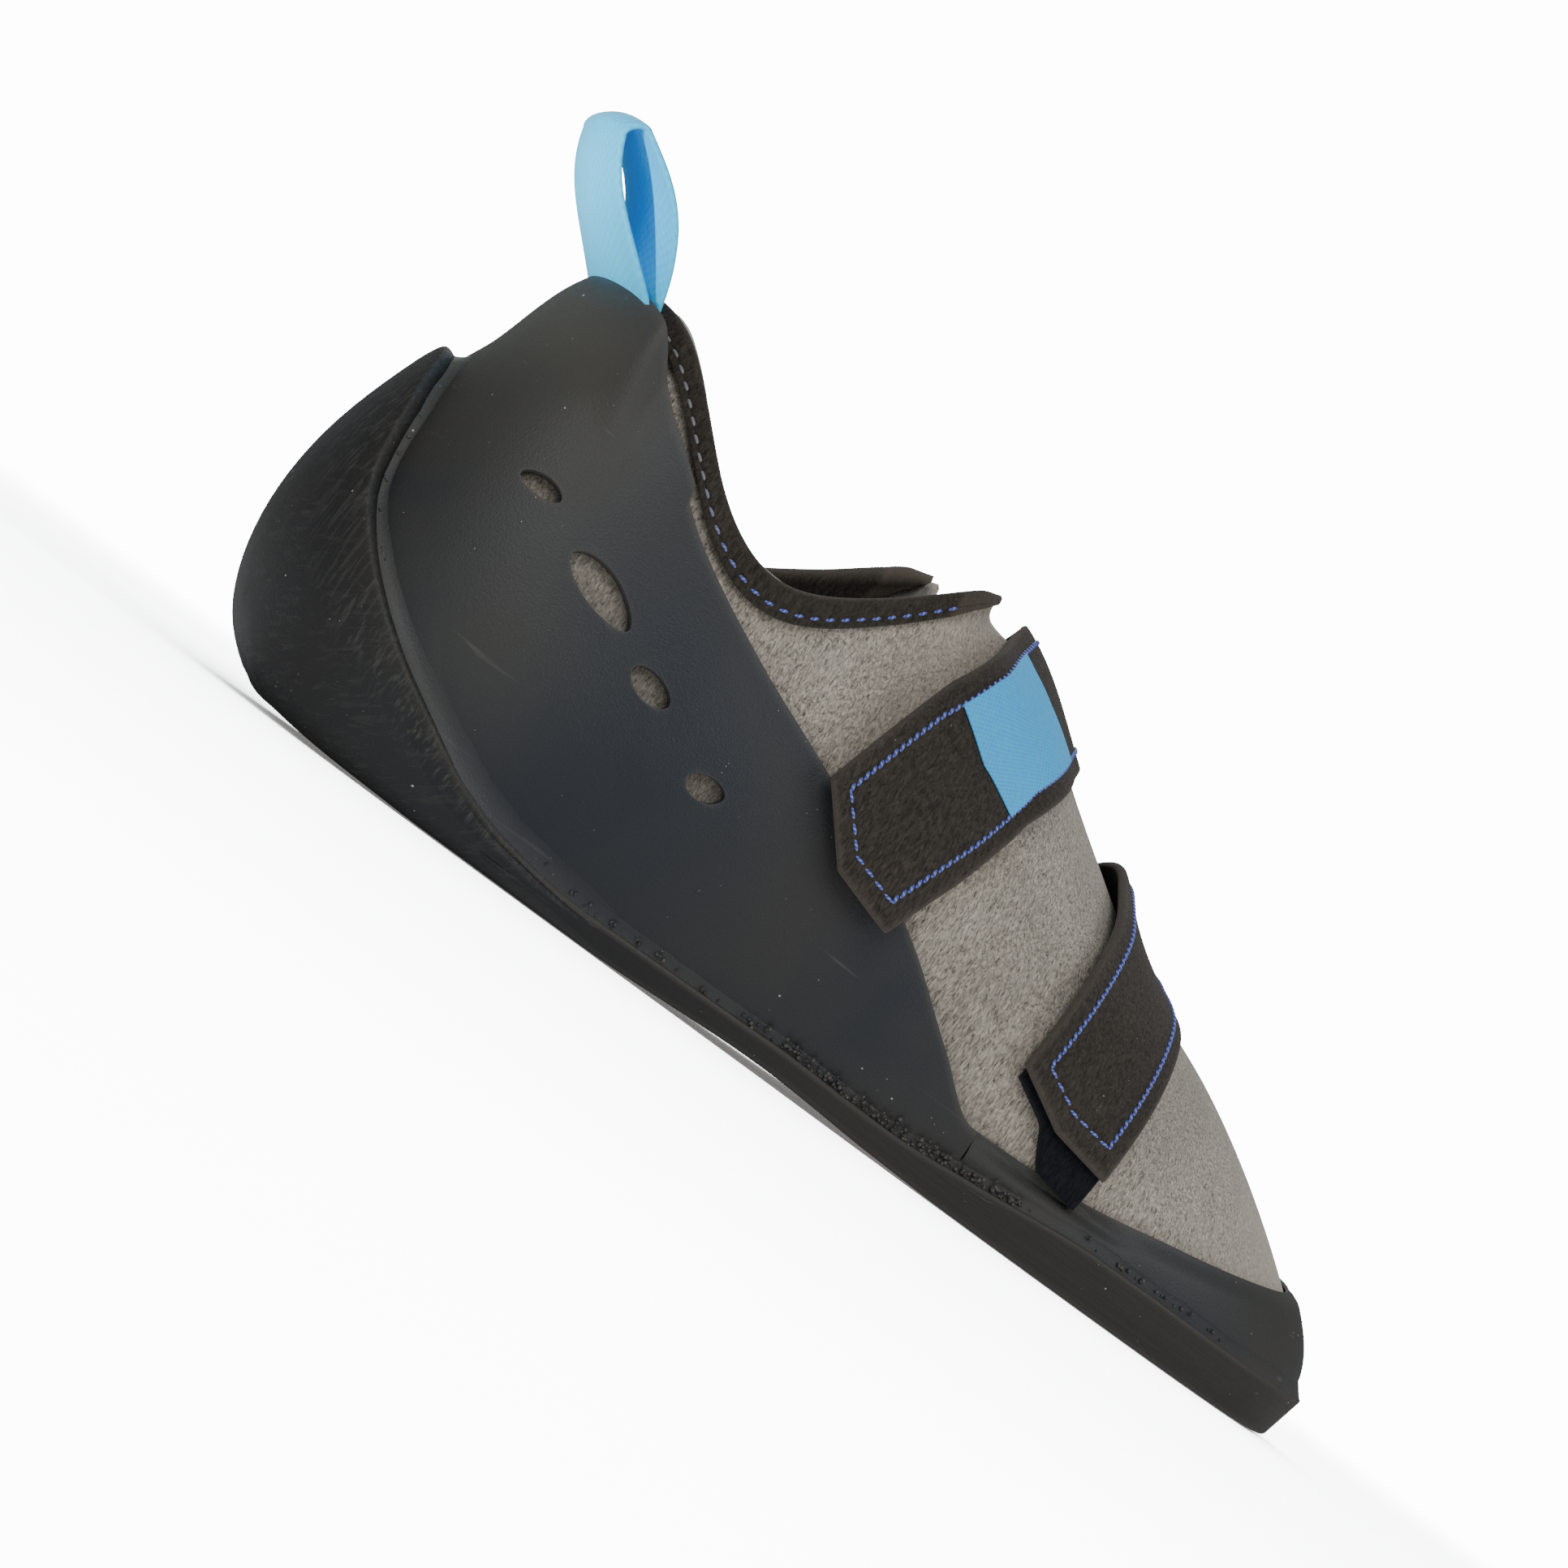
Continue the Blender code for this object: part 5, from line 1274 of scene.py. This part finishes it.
# %% [markdown]
# ## Collar binding and lining
# The raw edge of the collar is bound with a strip of microsuede that is folded over it and stitched
# through.  The strip is a U carried round the collar: a leg outside, a fold and a leg inside.  The stitch
# line pulls a shallow channel into the outer leg, and in front, where the strip ends, it curls up with the
# free corner of the collar.  Round the heel a thin pale lining stands up just inside the fold, and towards
# the front it sinks out of sight.

# %% Collar binding
BIND, BIND_GAP, INNER_SKIRT = 1.0 * MM, 0.55 * MM, 5.0 * MM
STITCH_UP = 1.7 * MM
END_TURN = 0.013
bind_turns = np.linspace(-COLLAR_END, COLLAR_END, 361)
bind_one = np.ones_like(bind_turns)
to_end = np.clip((np.abs(bind_turns) - COLLAR_END + END_TURN) / END_TURN, 0, 0.92)
end_round = np.sqrt(1 - to_end ** 3)
hem = bell(np.abs(bind_turns), COLLAR_END - 0.0115, 0.0012)
bind_up = unit(last(bind_turns, bind_one) - last(bind_turns, bind_one - 0.02))
bind_out = outward(bind_turns, bind_one)
LEG = np.array([0, 0.06, 0.2, 0.45, 0.8, 1.15, 1.45, 1.7, 1.95, 2.25, 2.8, 3.5, 4.2, 4.8]) * MM


def collar_skin(rise, offset):
    """Points on the collar's wall, moved out by an offset and by the curl of the free corner."""
    return skin(bind_turns, rise, offset + corner_curl(bind_turns, rise[:, None])[:, 0])


def outer_leg(offset, sag):
    """Outer leg of the binding: rows that climb the wall to the top edge, pulled in on the stitch line and
    on the hem of its front end, which is doubled, rounded off and curled up with the collar's corner."""
    rows = []
    for up_by in LEG:
        doubled = 0.5 * MM * (to_end > 0.13) - 0.3 * MM * hem
        pulled = offset - sag * bell(up_by, STITCH_UP, 0.42 * MM) + doubled
        rows.append(collar_skin(rise_below_top(bind_turns, (SKIRT - up_by) * end_round), pulled))
    return np.stack(rows, 1)


def binding_middle():
    """Middle of the strip: outer leg, a half ellipse over the edge, and the inner leg going down."""
    angle = np.linspace(0, math.pi, 11)[1:-1]
    wide, high = UPPER_WALL / 2 + BIND_GAP + BIND / 2, BIND_GAP + BIND / 2
    fold_over = (bind_edge[:, None] + bind_out[:, None] * (wide * np.cos(angle))[None, :, None]
                 + bind_up[:, None] * (high * np.sin(angle))[None, :, None])
    depth = UPPER_WALL + BIND_GAP + BIND / 2
    inner = [collar_skin(rise_below_top(bind_turns, below_by * end_round), -depth)
             for below_by in np.linspace(0, INNER_SKIRT, 9)]
    return np.concatenate([outer_leg(BIND_GAP + BIND / 2, 0.22 * MM), fold_over, np.stack(inner, 1)], 1)


bind_edge = collar_skin(bind_one, -UPPER_WALL / 2)
bind_middle = binding_middle()
bind_count = bind_middle.shape[1]
bind_half = np.full(bind_count, BIND / 2)
bind_half[:4] = BIND / 2 * np.sqrt(1 - (1 - LEG[:4] / LEG[3]) ** 2)
bind_half[-1] = BIND / 6
points, corners, _ = sheet_about(bind_middle, bind_half[None, :, None])
bind_worn = 0.5 * bell(np.arange(bind_count), 18, 3.0) + 0.35 * bell(np.arange(bind_count), 0, 1.5)
bind_worn = (bind_worn[None, :] + 0.5 * hem[:, None] + 0.35 * blend(0.1, 0.3, to_end)[:, None]).ravel()
add_piece("collar_binding_strip", points, corners, BINDING, ["collar_binding"],
          attributes={"worn": np.tile(bind_worn, 2)})

# %% Lining edge
LINING_DEEP, LINING_THICK, LINING_SHORT = 9 * MM, 0.6 * MM, 0.3 * MM
to_front = blend(0.13, 0.19, np.abs(bind_turns))
lining_in = UPPER_WALL + BIND_GAP + BIND + 0.25 * MM
lining_rows = [rise_below_top(bind_turns, d + (LINING_DEEP - d) * 0.62 * to_front)
               for d in np.linspace(LINING_DEEP, 0, 7)]
lining_low = np.stack([collar_skin(row, -lining_in) for row in lining_rows], 1)
fold_top = (bind_edge + bind_up * (BIND_GAP + BIND))[:, 2]
missing = (fold_top + 0.6 * MM - lining_low[:, -1, 2]) / np.maximum(bind_up[:, 2], 0.4)
stand = np.clip(missing, LINING_SHORT, 5 * MM) * (1 - to_front) + LINING_SHORT * to_front
climbs = bind_up[:, None] * stand[:, None, None] * np.array([0.35, 0.75, 1.0])[None, :, None]
lining_middle = np.concatenate([lining_low, lining_low[:, -1:] + climbs], 1)
lining_half = np.full(lining_middle.shape[1], LINING_THICK / 2)
lining_half[-1] = 0.12 * MM
points, corners, _ = sheet_about(lining_middle, lining_half[None, :, None])
add_piece("collar_lining", points, corners, LINING, attributes={"worn": np.ones(len(points))})

# %% [markdown]
# ## Tongue
# A padded sheet lies under the throat, so that the straps don't press on the foot.  It is a grid over the
# ridge, a little thicker in the middle than at its edges.

# %% Tongue
TONGUE_ALONG, TONGUE_TAB, TONGUE_THICK = (0.455, 0.72), 9 * MM, 2.2 * MM


def ridge_turn(along):
    """Turn at which the ridge line lies a share of the length from the heel."""
    turns = np.linspace(0.15, 0.5, 241)
    return float(np.interp(along * LAST_LENGTH, ridge_line(turns)[:, 0], turns))


def rim_round(distance, radius):
    """Share of the full thickness near a rim: a quarter circle that starts at 0 on the rim itself."""
    return np.sqrt(1 - (1 - np.clip(distance / radius, 0, 1)) ** 2)


def rim_distance(grid):
    """How far each point of a grid lies from the nearest of its four edges, along the grid's lines."""
    def along(axis):
        """Distance to the nearer end of each line of the grid on one axis."""
        step = np.linalg.norm(np.diff(grid, axis=axis), axis=-1)
        run = np.concatenate([np.zeros_like(np.take(step, [0], axis)), np.cumsum(step, axis)], axis)
        return np.minimum(run, np.take(run, [-1], axis) - run)
    return np.minimum(along(0), along(1))


def eased(low, high, count, share=0.5):
    """Places that crowd towards both ends, part straight and part on a cosine."""
    s = np.linspace(0, 1, count)
    return low + (high - low) * ((1 - share) * s + share * (1 - np.cos(math.pi * s)) / 2)


tongue_turns = eased(ridge_turn(TONGUE_ALONG[0]), ridge_turn(TONGUE_ALONG[1]), 60)
tongue_sides = eased(-1, 1, 41, 0.7)
tongue_reach = rise_beside_ridge(tongue_turns, throat_half_width(tongue_turns) + 6 * MM)
tongue_turn = np.where(tongue_sides[None, :] <= 0, tongue_turns[:, None], 1 - tongue_turns[:, None])
tongue_rise = 1 - (1 - tongue_reach[:, None]) * np.abs(tongue_sides)[None, :]
tongue_under = -(UPPER_WALL + 1.6 * MM + TONGUE_THICK / 2)
tongue_middle = skin(tongue_turn, tongue_rise, tongue_under)
tab_way = unit(tongue_middle[0] - tongue_middle[3]) * (TONGUE_TAB * (1 - 0.35 * tongue_sides ** 2))[:, None]
tab = tongue_middle[:1] + tab_way[None] * np.sin(np.linspace(math.pi / 2, 0, 13)[:-1])[:, None, None]
tongue_middle = np.concatenate([tab, tongue_middle])
tongue_half = (TONGUE_THICK / 2 * rim_round(rim_distance(tongue_middle), 2.4 * MM))[..., None]
points, corners, _ = sheet_about(tongue_middle, tongue_half)
tongue = add_piece("tongue_pad", points, corners, TONGUE, ["tongue"], uv=points[:, :2])

# %% [markdown]
# ## Straps
# Two straps close the shoe with hook and loop.  Each is a band round an axis inside the foot, lying on the
# inner side and over the ridge and lifting on the outer side, where its free end is cut to an angle.
# Lines from the axis are followed until they meet the last, by Newton's method, for all points at once.

# %% Places under a strap
# along: share of the length; aside, height, width, lift: mm; the others: degrees
STRAP_COLUMNS = ("along", "aside", "height", "yaw", "pitch", "end_back", "end_middle", "end_front",
                 "inner_end", "width", "lift")
STRAPS = {
    "strap_upper": (0.458, 2.0, 45.0, 17.6, 18.0, 101.0, 111.0, 111.0, 78.0, 25.5, 4.7),
    "strap_front": (0.650, 4.0, 25.0, 5.8, 7.0, 90.0, 96.0, 97.0, 74.0, 24.5, 2.6),
}
STRAP_THICK, STRAP_REST = 1.8 * MM, 0.6 * MM


def meet_last(origin, ray):
    """Turn and rise where rays meet the last: the nearest of a set of samples, then Newton's steps."""
    turns, rises = np.repeat(np.linspace(0.12, 0.88, 64), 24), np.tile(np.linspace(0.1, 1, 24), 64)
    samples = last(turns, rises)
    along = ray @ samples.T - np.einsum("ij,ij->i", ray, origin)[:, None]
    far = (samples ** 2).sum(1)[None, :] + (origin ** 2).sum(1)[:, None] - 2 * origin @ samples.T
    best = np.argmax(along / np.sqrt(np.maximum(far, 1e-12)), axis=1)
    turn, rise = turns[best], rises[best]
    reach_to = np.linalg.norm(samples[best] - origin, axis=1)
    for _ in range(8):
        miss = last(turn, rise) - origin - ray * reach_to[:, None]
        by_turn = (last(turn + 1e-4, rise) - last(turn - 1e-4, rise)) / 2e-4
        by_rise = (last(turn, rise + 1e-3) - last(turn, rise - 1e-3)) / 2e-3
        step = np.linalg.solve(np.stack([by_turn, by_rise, -ray], -1), -miss[..., None])[..., 0]
        turn = turn + np.clip(step[:, 0], -0.02, 0.02)
        rise = rise + np.clip(step[:, 1], -0.1, 0.1)
        reach_to = reach_to + step[:, 2]
        over_ridge = (rise > 1) & on_vamp(turn)
        turn, rise = np.where(over_ridge, 1 - turn, turn), np.where(over_ridge, 2 - rise, rise)
    return turn, rise


def strap_points(name, u, v, height):
    """Points above the last under a strap: u runs from the outer end (-1) over the ridge to the inner end
    (1), v from the back edge (-1) to the front edge (1), and height is measured from the underside."""
    row = dict(zip(STRAP_COLUMNS, STRAPS[name]))
    u, v, height = (np.asarray(a, float) for a in np.broadcast_arrays(u, v, height))
    axis = unit([1, -math.tan(math.radians(row["yaw"])), -math.tan(math.radians(row["pitch"]))])
    outer = np.array([0.0, -1.0, 0.0])
    outer = unit(outer - axis * (outer @ axis))
    above = np.cross(outer, axis)
    above = above if above[2] > 0 else -above
    end = np.interp(v, [-1, 0, 1], [row["end_back"], row["end_middle"], row["end_front"]])
    angle = np.radians(np.where(u < 0, -u * end, -u * row["inner_end"]))[..., None]
    centre = np.array([row["along"] * LAST_LENGTH, row["aside"] * MM, row["height"] * MM])
    origin = centre + axis * (v * row["width"] * MM / 2)[..., None]
    ray = above * np.cos(angle) + outer * np.sin(angle)
    turn, rise = meet_last(origin.reshape(-1, 3), ray.reshape(-1, 3))
    lift = STRAP_REST + (row["lift"] * MM - STRAP_REST) * blend(0.22, 0.55, -u)
    if name == "strap_front":
        lift = lift + 2.2 * MM * bell(u, -0.12, 0.20) * blend(0.1, -1.0, v)
    return skin(turn.reshape(u.shape), rise.reshape(u.shape), lift + height)


# %% Strap bands


def add_strap(name):
    """A band with softly cut edges: the middle of the band, moved both ways by half its thickness."""
    u, v = eased(-1, 1, 121, 0.8), eased(-1, 1, 33, 0.8)
    middle_grid = strap_points(name, u[None, :], v[:, None], STRAP_THICK / 2)
    distance = rim_distance(middle_grid)
    half = (STRAP_THICK / 2 * rim_round(distance, 0.55 * MM))[..., None]
    points, corners, _ = sheet_about(middle_grid, half)
    worn = np.tile((0.55 * bell(distance, 0, 0.8 * MM)).ravel(), 2)
    add_piece(name + "_band", points, corners, STRAP, [name], attributes={"worn": worn})
    length, width = run_along(middle_grid[len(v) // 2])[-1], run_along(middle_grid[:, len(u) // 2])[-1]
    print(f"  {name}: {length / MM:.1f} mm long, {width / MM:.1f} mm wide")


STRAP_SLOTS = {"strap_upper": "upper_strap_suede", "strap_front": "front_strap_suede"}
for name, slot in STRAP_SLOTS.items():
    add_strap(name)

# %% [markdown]
# Under each free end lies a pad of hooks that fills the space between strap and shoe; the front one shows
# past the cut end of its strap.  A plain blue band is sewn across the upper strap.

# %% Pads and tag
PAD_SPAN, PAD_WIDTH, PAD_CLEAR = (0.60, 0.93), 0.84, 0.25 * MM
PAD_REST = {"strap_upper": 2.4 * MM, "strap_front": 0.3 * MM}


def add_pad(name, strap, replaces, past=0.0):
    """The hook-and-loop pad: it fills the space between the strap and what the strap closes on.  past is
    how far it reaches out from under the cut end of the strap, least at the back."""
    s, v = eased(0, 1, 41)[None, :], eased(-PAD_WIDTH, PAD_WIDTH + past, 31)[:, None]
    end = PAD_SPAN[1] + past * (0.55 + 0.45 * blend(-0.2, 0.3, v))
    u = -(end + (PAD_SPAN[0] - end) * s)
    lift = STRAPS[strap][-1] * MM
    high = strap_points(strap, u, v, -PAD_CLEAR)
    low = strap_points(strap, u, v, PAD_REST[strap] - lift)
    points, corners, _ = sheet_faces(high, low)
    return round_edges(add_piece(name, points, corners, PAD, [replaces]), 0.4 * MM)


add_pad("upper_hook_pad", "strap_upper", "strap_pad_upper")
add_pad("front_hook_pad", "strap_front", "strap_pad_front", past=0.15)

TAG_SPAN, TAG_WIDTH = (0.30, 0.635), 0.72
TAG_LOW, TAG_HIGH = STRAP_THICK + 0.05 * MM, STRAP_THICK + 0.45 * MM
HALF_WIDE, HALF_LONG = 12.75 * MM, 62 * MM
tag_u, tag_v = -eased(*TAG_SPAN, 41)[::-1], eased(-TAG_WIDTH, TAG_WIDTH, 25)
tag_high, tag_low = (strap_points("strap_upper", tag_u[None, :], tag_v[:, None], height)
                     for height in (TAG_HIGH, TAG_LOW))
points, corners, _ = sheet_faces(tag_high, tag_low)
tag_uv = np.stack(np.meshgrid(tag_v * HALF_WIDE, tag_u * HALF_LONG, indexing="ij"), -1).reshape(-1, 2)
strap_tag = add_piece("strap_tag_band", points, corners, TAG, ["strap_tag"],
                      uv=np.tile(tag_uv, (2, 1)))
round_edges(strap_tag, 0.15 * MM)

# %% [markdown]
# ## Pull loop
# A strip of webbing is folded in two, and both ends are sewn in behind the rubber at the back of the heel.
# It stands up and leans backwards.  Each thread line across its width is a curve from one end to the fold
# and another from the fold to the other end.

# %% Webbing
LOOP_WIDTH, LOOP_THICK, LOOP_OPEN = 21 * MM, 1.0 * MM, 10.5 * MM
LOOP_BACK, LOOP_UP, LOOP_ASIDE = 20 * MM, 19 * MM, -4 * MM
LOOP_FOOT, LOOP_TIP = 0.032, 0.42


def loop_lines(v):
    """Middle lines of the webbing: a cubic Bezier curve up each leg and half an ellipse at the fold."""
    turn = LOOP_TURN - v * LOOP_FOOT
    low = rise_below_top(turn, 4.5 * MM)
    clear = BIND_GAP + BIND + 0.15 * MM + LOOP_THICK / 2
    outer_foot = skin(turn, low, clear + LOOP_THICK + 0.1 * MM)
    inner_foot = skin(turn, low, clear)
    brim = skin(turn, 1.0, clear)
    tip = brim * 0.6 + ridge_line(np.array(0.0)) * 0.4 + np.array([-LOOP_BACK, 0, LOOP_UP])
    tip[:, 1] = LOOP_ASIDE + v * LOOP_WIDTH / 2
    lift = unit([LOOP_UP, 0, LOOP_BACK]) * LOOP_OPEN / 2
    back = unit([-LOOP_BACK, 0, LOOP_UP])
    s = np.linspace(0, 1, 40)[None, :, None]

    def leg(foot, side):
        """One leg, from its foot on the heel to the fold; side says which way it bows."""
        bow = foot + (tip - foot) * 0.35 + np.array([0, 0, 5 * MM]) + lift * side
        mid = foot + (tip - foot) * 0.72 + lift * side
        end = tip + lift * side * LOOP_TIP
        return ((1 - s) ** 3 * foot[:, None] + 3 * s * (1 - s) ** 2 * bow[:, None]
                + 3 * s ** 2 * (1 - s) * mid[:, None] + s ** 3 * end[:, None])

    angle = np.linspace(0, math.pi, 13)[1:-1][None, :, None]
    bend = tip[:, None] - lift * LOOP_TIP * np.cos(angle) + back * 1.3 * MM * np.sin(angle)
    return np.concatenate([leg(outer_foot, -1), bend, leg(inner_foot, 1)[:, ::-1]], 1)


loop_v = eased(-1, 1, 23, 0.6)
loop_grid = loop_lines(loop_v).transpose(1, 0, 2)
loop_run = run_along(loop_grid[:, len(loop_v) // 2])
loop_half = (LOOP_THICK / 2 * rim_round((1 - np.abs(loop_v)) * LOOP_WIDTH / 2, 0.5 * MM))[None, :, None]
points, corners, _ = sheet_about(loop_grid, loop_half)
loop_uv = np.stack(np.meshgrid(loop_v * LOOP_WIDTH / 2, loop_run), -1).reshape(-1, 2)
pull_loop = add_piece("pull_loop_webbing", points, corners, WEBBING, ["pull_loop"],
                      uv=np.tile(loop_uv, (2, 1)))
print("webbing length, mm:", round(loop_run[-1] / MM, 1))

# %% [markdown]
# ## Stitching
# A row of stitches is a thread that goes in and out of the leather, so only short grains of it show.  Each
# grain is a small spindle that lies along its line and dips at both ends.  All the grains of a row are one
# mesh, made from arrays: a ring, carried along the grain, repeated for every grain.

# %% Shape of a stitch
GRAIN_RINGS, GRAIN_SIDES = 7, 6
GRAIN_POINTS = GRAIN_RINGS * GRAIN_SIDES


def grains(places, along, out, length, radius, slant):
    """Spindles at places: radius times the square root of 1 - s^4, sunk at the ends, turned by a slant."""
    s = np.linspace(-1, 1, GRAIN_RINGS)
    round_turn = np.arange(GRAIN_SIDES) / GRAIN_SIDES * 2 * math.pi
    side = np.cross(out, along)
    run = along * math.cos(slant) + side * math.sin(slant)
    side = np.cross(out, run)
    thick = radius * np.sqrt(np.maximum(1 - s ** 4, 0.0)) + 1e-5
    dip = radius * (0.55 - 0.85 * s ** 2)
    ring = (side[:, None, None] * np.cos(round_turn)[None, None, :, None]
            + out[:, None, None] * np.sin(round_turn)[None, None, :, None])
    points = (places[:, None, None] + run[:, None, None] * (s * length / 2)[None, :, None, None]
              + out[:, None, None] * dip[None, :, None, None] + ring * thick[None, :, None, None])
    index = numbered(GRAIN_RINGS, GRAIN_SIDES)
    wall = cells(np.hstack([index, index[:, :1]]))
    caps = np.stack([index[0, :4], index[0, [0, 3, 4, 5]], index[-1, 3::-1], index[-1, [5, 4, 3, 0]]])
    corners = np.concatenate([wall, caps])[:, ::-1]
    corners = (corners[None] + (np.arange(len(places)) * GRAIN_POINTS)[:, None, None]).reshape(-1, 4)
    uv = np.stack(np.broadcast_arrays((s * length / 2)[None, :, None], round_turn[None, None, :]), -1)
    uv = np.broadcast_to(uv, (len(places), GRAIN_RINGS, GRAIN_SIDES, 2)).reshape(-1, 2)
    return points.reshape(-1, 3), corners, uv


# %% Rows of stitches


def on_run(at, run, path):
    """Points of a path at given distances from its start."""
    return np.stack([np.interp(at, run, path[:, k]) for k in range(3)], 1)


def even_places(path, pitch):
    """Points a pitch apart on a path, with the direction of the path at each."""
    run = run_along(path)
    at = np.arange(pitch / 2, run[-1], pitch)
    ahead = on_run(at + 0.4 * MM, run, path) - on_run(at - 0.4 * MM, run, path)
    return on_run(at, run, path), unit(ahead), at


def add_stitches(name, path, above, pitch, length, radius, slant, worn=0.0):
    """A row of grains along a path; above is the same path a little higher, which gives the way out."""
    point, along, at = even_places(path, pitch)
    out = on_run(at, run_along(path), above) - point
    out = unit(out - along * np.einsum("ij,ij->i", out, along)[:, None])
    points, corners, uv = grains(point, along, out, length, radius, slant)
    fade = np.repeat(np.broadcast_to(worn(at) if callable(worn) else worn, len(at)), GRAIN_POINTS)
    return add_piece(name, points, corners, THREAD, uv=uv, attributes={"worn": fade})


# %% Stitches on straps and collar
STITCH_START, STITCH_INSET = 0.75, 3.6 * MM


def strap_stitch_runs(name, inset):
    """Three runs on a strap, as u and v: along its back edge, across its cut end and along its front."""
    row = dict(zip(STRAP_COLUMNS, STRAPS[name]))
    side = 1 - 2 * inset / (row["width"] * MM)
    line_u, line_v = np.linspace(-1, 0, 60)[None, :], np.array([-side, 0, side])[:, None]
    line = strap_points(name, line_u, line_v, STRAP_THICK)
    stop_u = -1 + inset / np.linalg.norm(np.diff(line, axis=1), axis=-1).sum(1)
    across_v = np.linspace(-side, side, 61)
    across_u = np.interp(across_v, [-side, 0, side], stop_u)
    return [(np.linspace(STITCH_START, stop_u[0], 120), np.full(120, -side)), (across_u, across_v),
            (np.linspace(stop_u[2], STITCH_START, 120), np.full(120, side))]


# pitch, length and radius of a grain in millimetres, and its slant
SIDE_GRAIN, END_GRAIN = (1.55, 1.75, 0.30, 0.42), (2.6, 2.05, 0.25, 0.10)
for name, slot in STRAP_SLOTS.items():
    for where, (u, v), grain in zip(("back", "end", "front"), strap_stitch_runs(name, STITCH_INSET),
                                    (SIDE_GRAIN, END_GRAIN, SIDE_GRAIN)):
        pitch, length, radius = (size * MM for size in grain[:3])
        add_stitches(f"{name}_{where}_stitches", strap_points(name, u, v, STRAP_THICK),
                     strap_points(name, u, v, STRAP_THICK + 1 * MM), pitch, length, radius, grain[3])

stitch_rise = rise_below_top(bind_turns, (SKIRT - STITCH_UP) * end_round)
bind_path = collar_skin(stitch_rise, BIND_GAP + BIND - 0.12 * MM)
bind_above = collar_skin(stitch_rise, BIND_GAP + BIND + 1 * MM)
bind_length = run_along(bind_path)[-1]
add_stitches("collar_stitches", bind_path, bind_above, 3.0 * MM, 1.8 * MM, 0.27 * MM, 0.12,
             worn=lambda at: 1 - blend(0.18, 0.30, np.abs(at / bind_length - 0.5)))

# %% [markdown]
# ## Glue line
# Where the sole's lip lies on the rand, glue and rubber dust fill the corner.  The line is a soft fillet
# carried round the shoe, wider and narrower as it was smeared.  At the top of the heel and at mid-foot it
# has sunk, so that a crack is left open, with loose grains in it.

# %% Fillet
WOBBLE = ((23, 0.5), (61, 0.3), (139, 0.25))
FILLET_ROWS = 9
wobble = sum(size * np.sin(2 * math.pi * waves * TURNS + waves) for waves, size in WOBBLE)
by_rise = np.linalg.norm(last(TURNS, sole_top + 1e-3) - last(TURNS, sole_top), axis=-1) / 1e-3
climb = (2.2 + 2.2 * wrap + (0.3 + 0.3 * wrap) * wobble) * MM / by_rise
from_back = (TURNS + 0.5) % 1 - 0.5
cracked = np.clip(np.maximum(bell(from_back, 0.012, 0.042), 0.6 * bell(np.abs(from_back), 0.24, 0.08))
                  * (0.85 + 0.4 * wobble), 0, 1)
drop = cracked * MM / by_rise
on_ledge = skin(TURNS, sole_top - 0.12 * MM / by_rise - 1.8 * drop, clear + lip * (0.72 + 0.06 * wobble))
on_rand = skin(TURNS, sole_top + climb * (1 - 0.5 * cracked), OUTER_RAND - 0.02 * MM)
in_corner = skin(TURNS, sole_top + climb * 0.38 - 1.6 * drop, OUTER_RAND + 0.12 * MM + 0.3 * lip * (1 - wrap))
hidden_corner = skin(TURNS, np.maximum(sole_top - climb, 0.0), clear - 0.15 * MM)
q = np.linspace(-0.12, 1.14, FILLET_ROWS)[None, :, None]
fillet = (1 - q) ** 2 * on_ledge[:, None] + 2 * q * (1 - q) * in_corner[:, None] + q ** 2 * on_rand[:, None]
sunk = 0.30 * MM * np.clip((q - 0.90) / 0.24, 0, 1)
fillet = fillet - sunk * outward(TURNS, sole_top + climb)[:, None]
fillet = np.concatenate([fillet, hidden_corner[:, None]], 1)
index = numbered(*fillet.shape[:2])
corners = cells(np.hstack([index, index[:, :1]]), True)
pale = (np.append(0.15 * np.linspace(1, 0, FILLET_ROWS), 0)[None, :]
        + 0.10 * wrap[:, None] * bell(np.arange(FILLET_ROWS + 1), 3.5, 2.2)[None, :])
add_piece("glue_line", fillet.reshape(-1, 3), corners, GLUE,
          attributes={"worn": pale.ravel(), "olive": olive_share(fillet).ravel()})

# %% Grains
# first turn, last turn and number of grains: mid-foot, the outer side and the top of the heel
GRAIN_RUNS = ((0.205, 0.300, 190), (0.10, 0.40, 80), (0.015, 0.06, 60))
GRAIN_SIZES = (0.45, 0.65, 0.85)
rng = np.random.default_rng(7)
grain_turn = np.concatenate([rng.uniform(*run) for run in GRAIN_RUNS])
count = len(grain_turn)
grain_up = climb * 0.40 * (1 - wrap) + 0.2 * MM / by_rise * wrap
grain_rise = np.interp(grain_turn, TURNS, sole_top + grain_up) + rng.normal(0, 0.006, count)
grain_off = OUTER_RAND + (clear - OUTER_RAND) * 0.6 + lip * 0.36 * (1 - wrap)
grain_off = np.interp(grain_turn, TURNS, grain_off) + rng.uniform(-0.1, 0.25, count) * MM
grain_spot = skin(grain_turn, grain_rise, grain_off)
grain_out = outward(grain_turn, grain_rise)
grain_along = unit(np.cross(grain_out, rng.normal(0, 1, (count, 3))))
parts = [grains(grain_spot[k::3], grain_along[k::3], grain_out[k::3], size * MM, 0.4 * size * MM, 0.0)
         for k, size in enumerate(GRAIN_SIZES)]
points = np.concatenate([part[0] for part in parts])
corners = np.concatenate([part[1] + k * len(parts[0][0]) for k, part in enumerate(parts)])
add_piece("glue_grains", points, corners, GLUE,
          attributes={"worn": np.repeat(rng.uniform(0, 0.7, count), GRAIN_POINTS)})
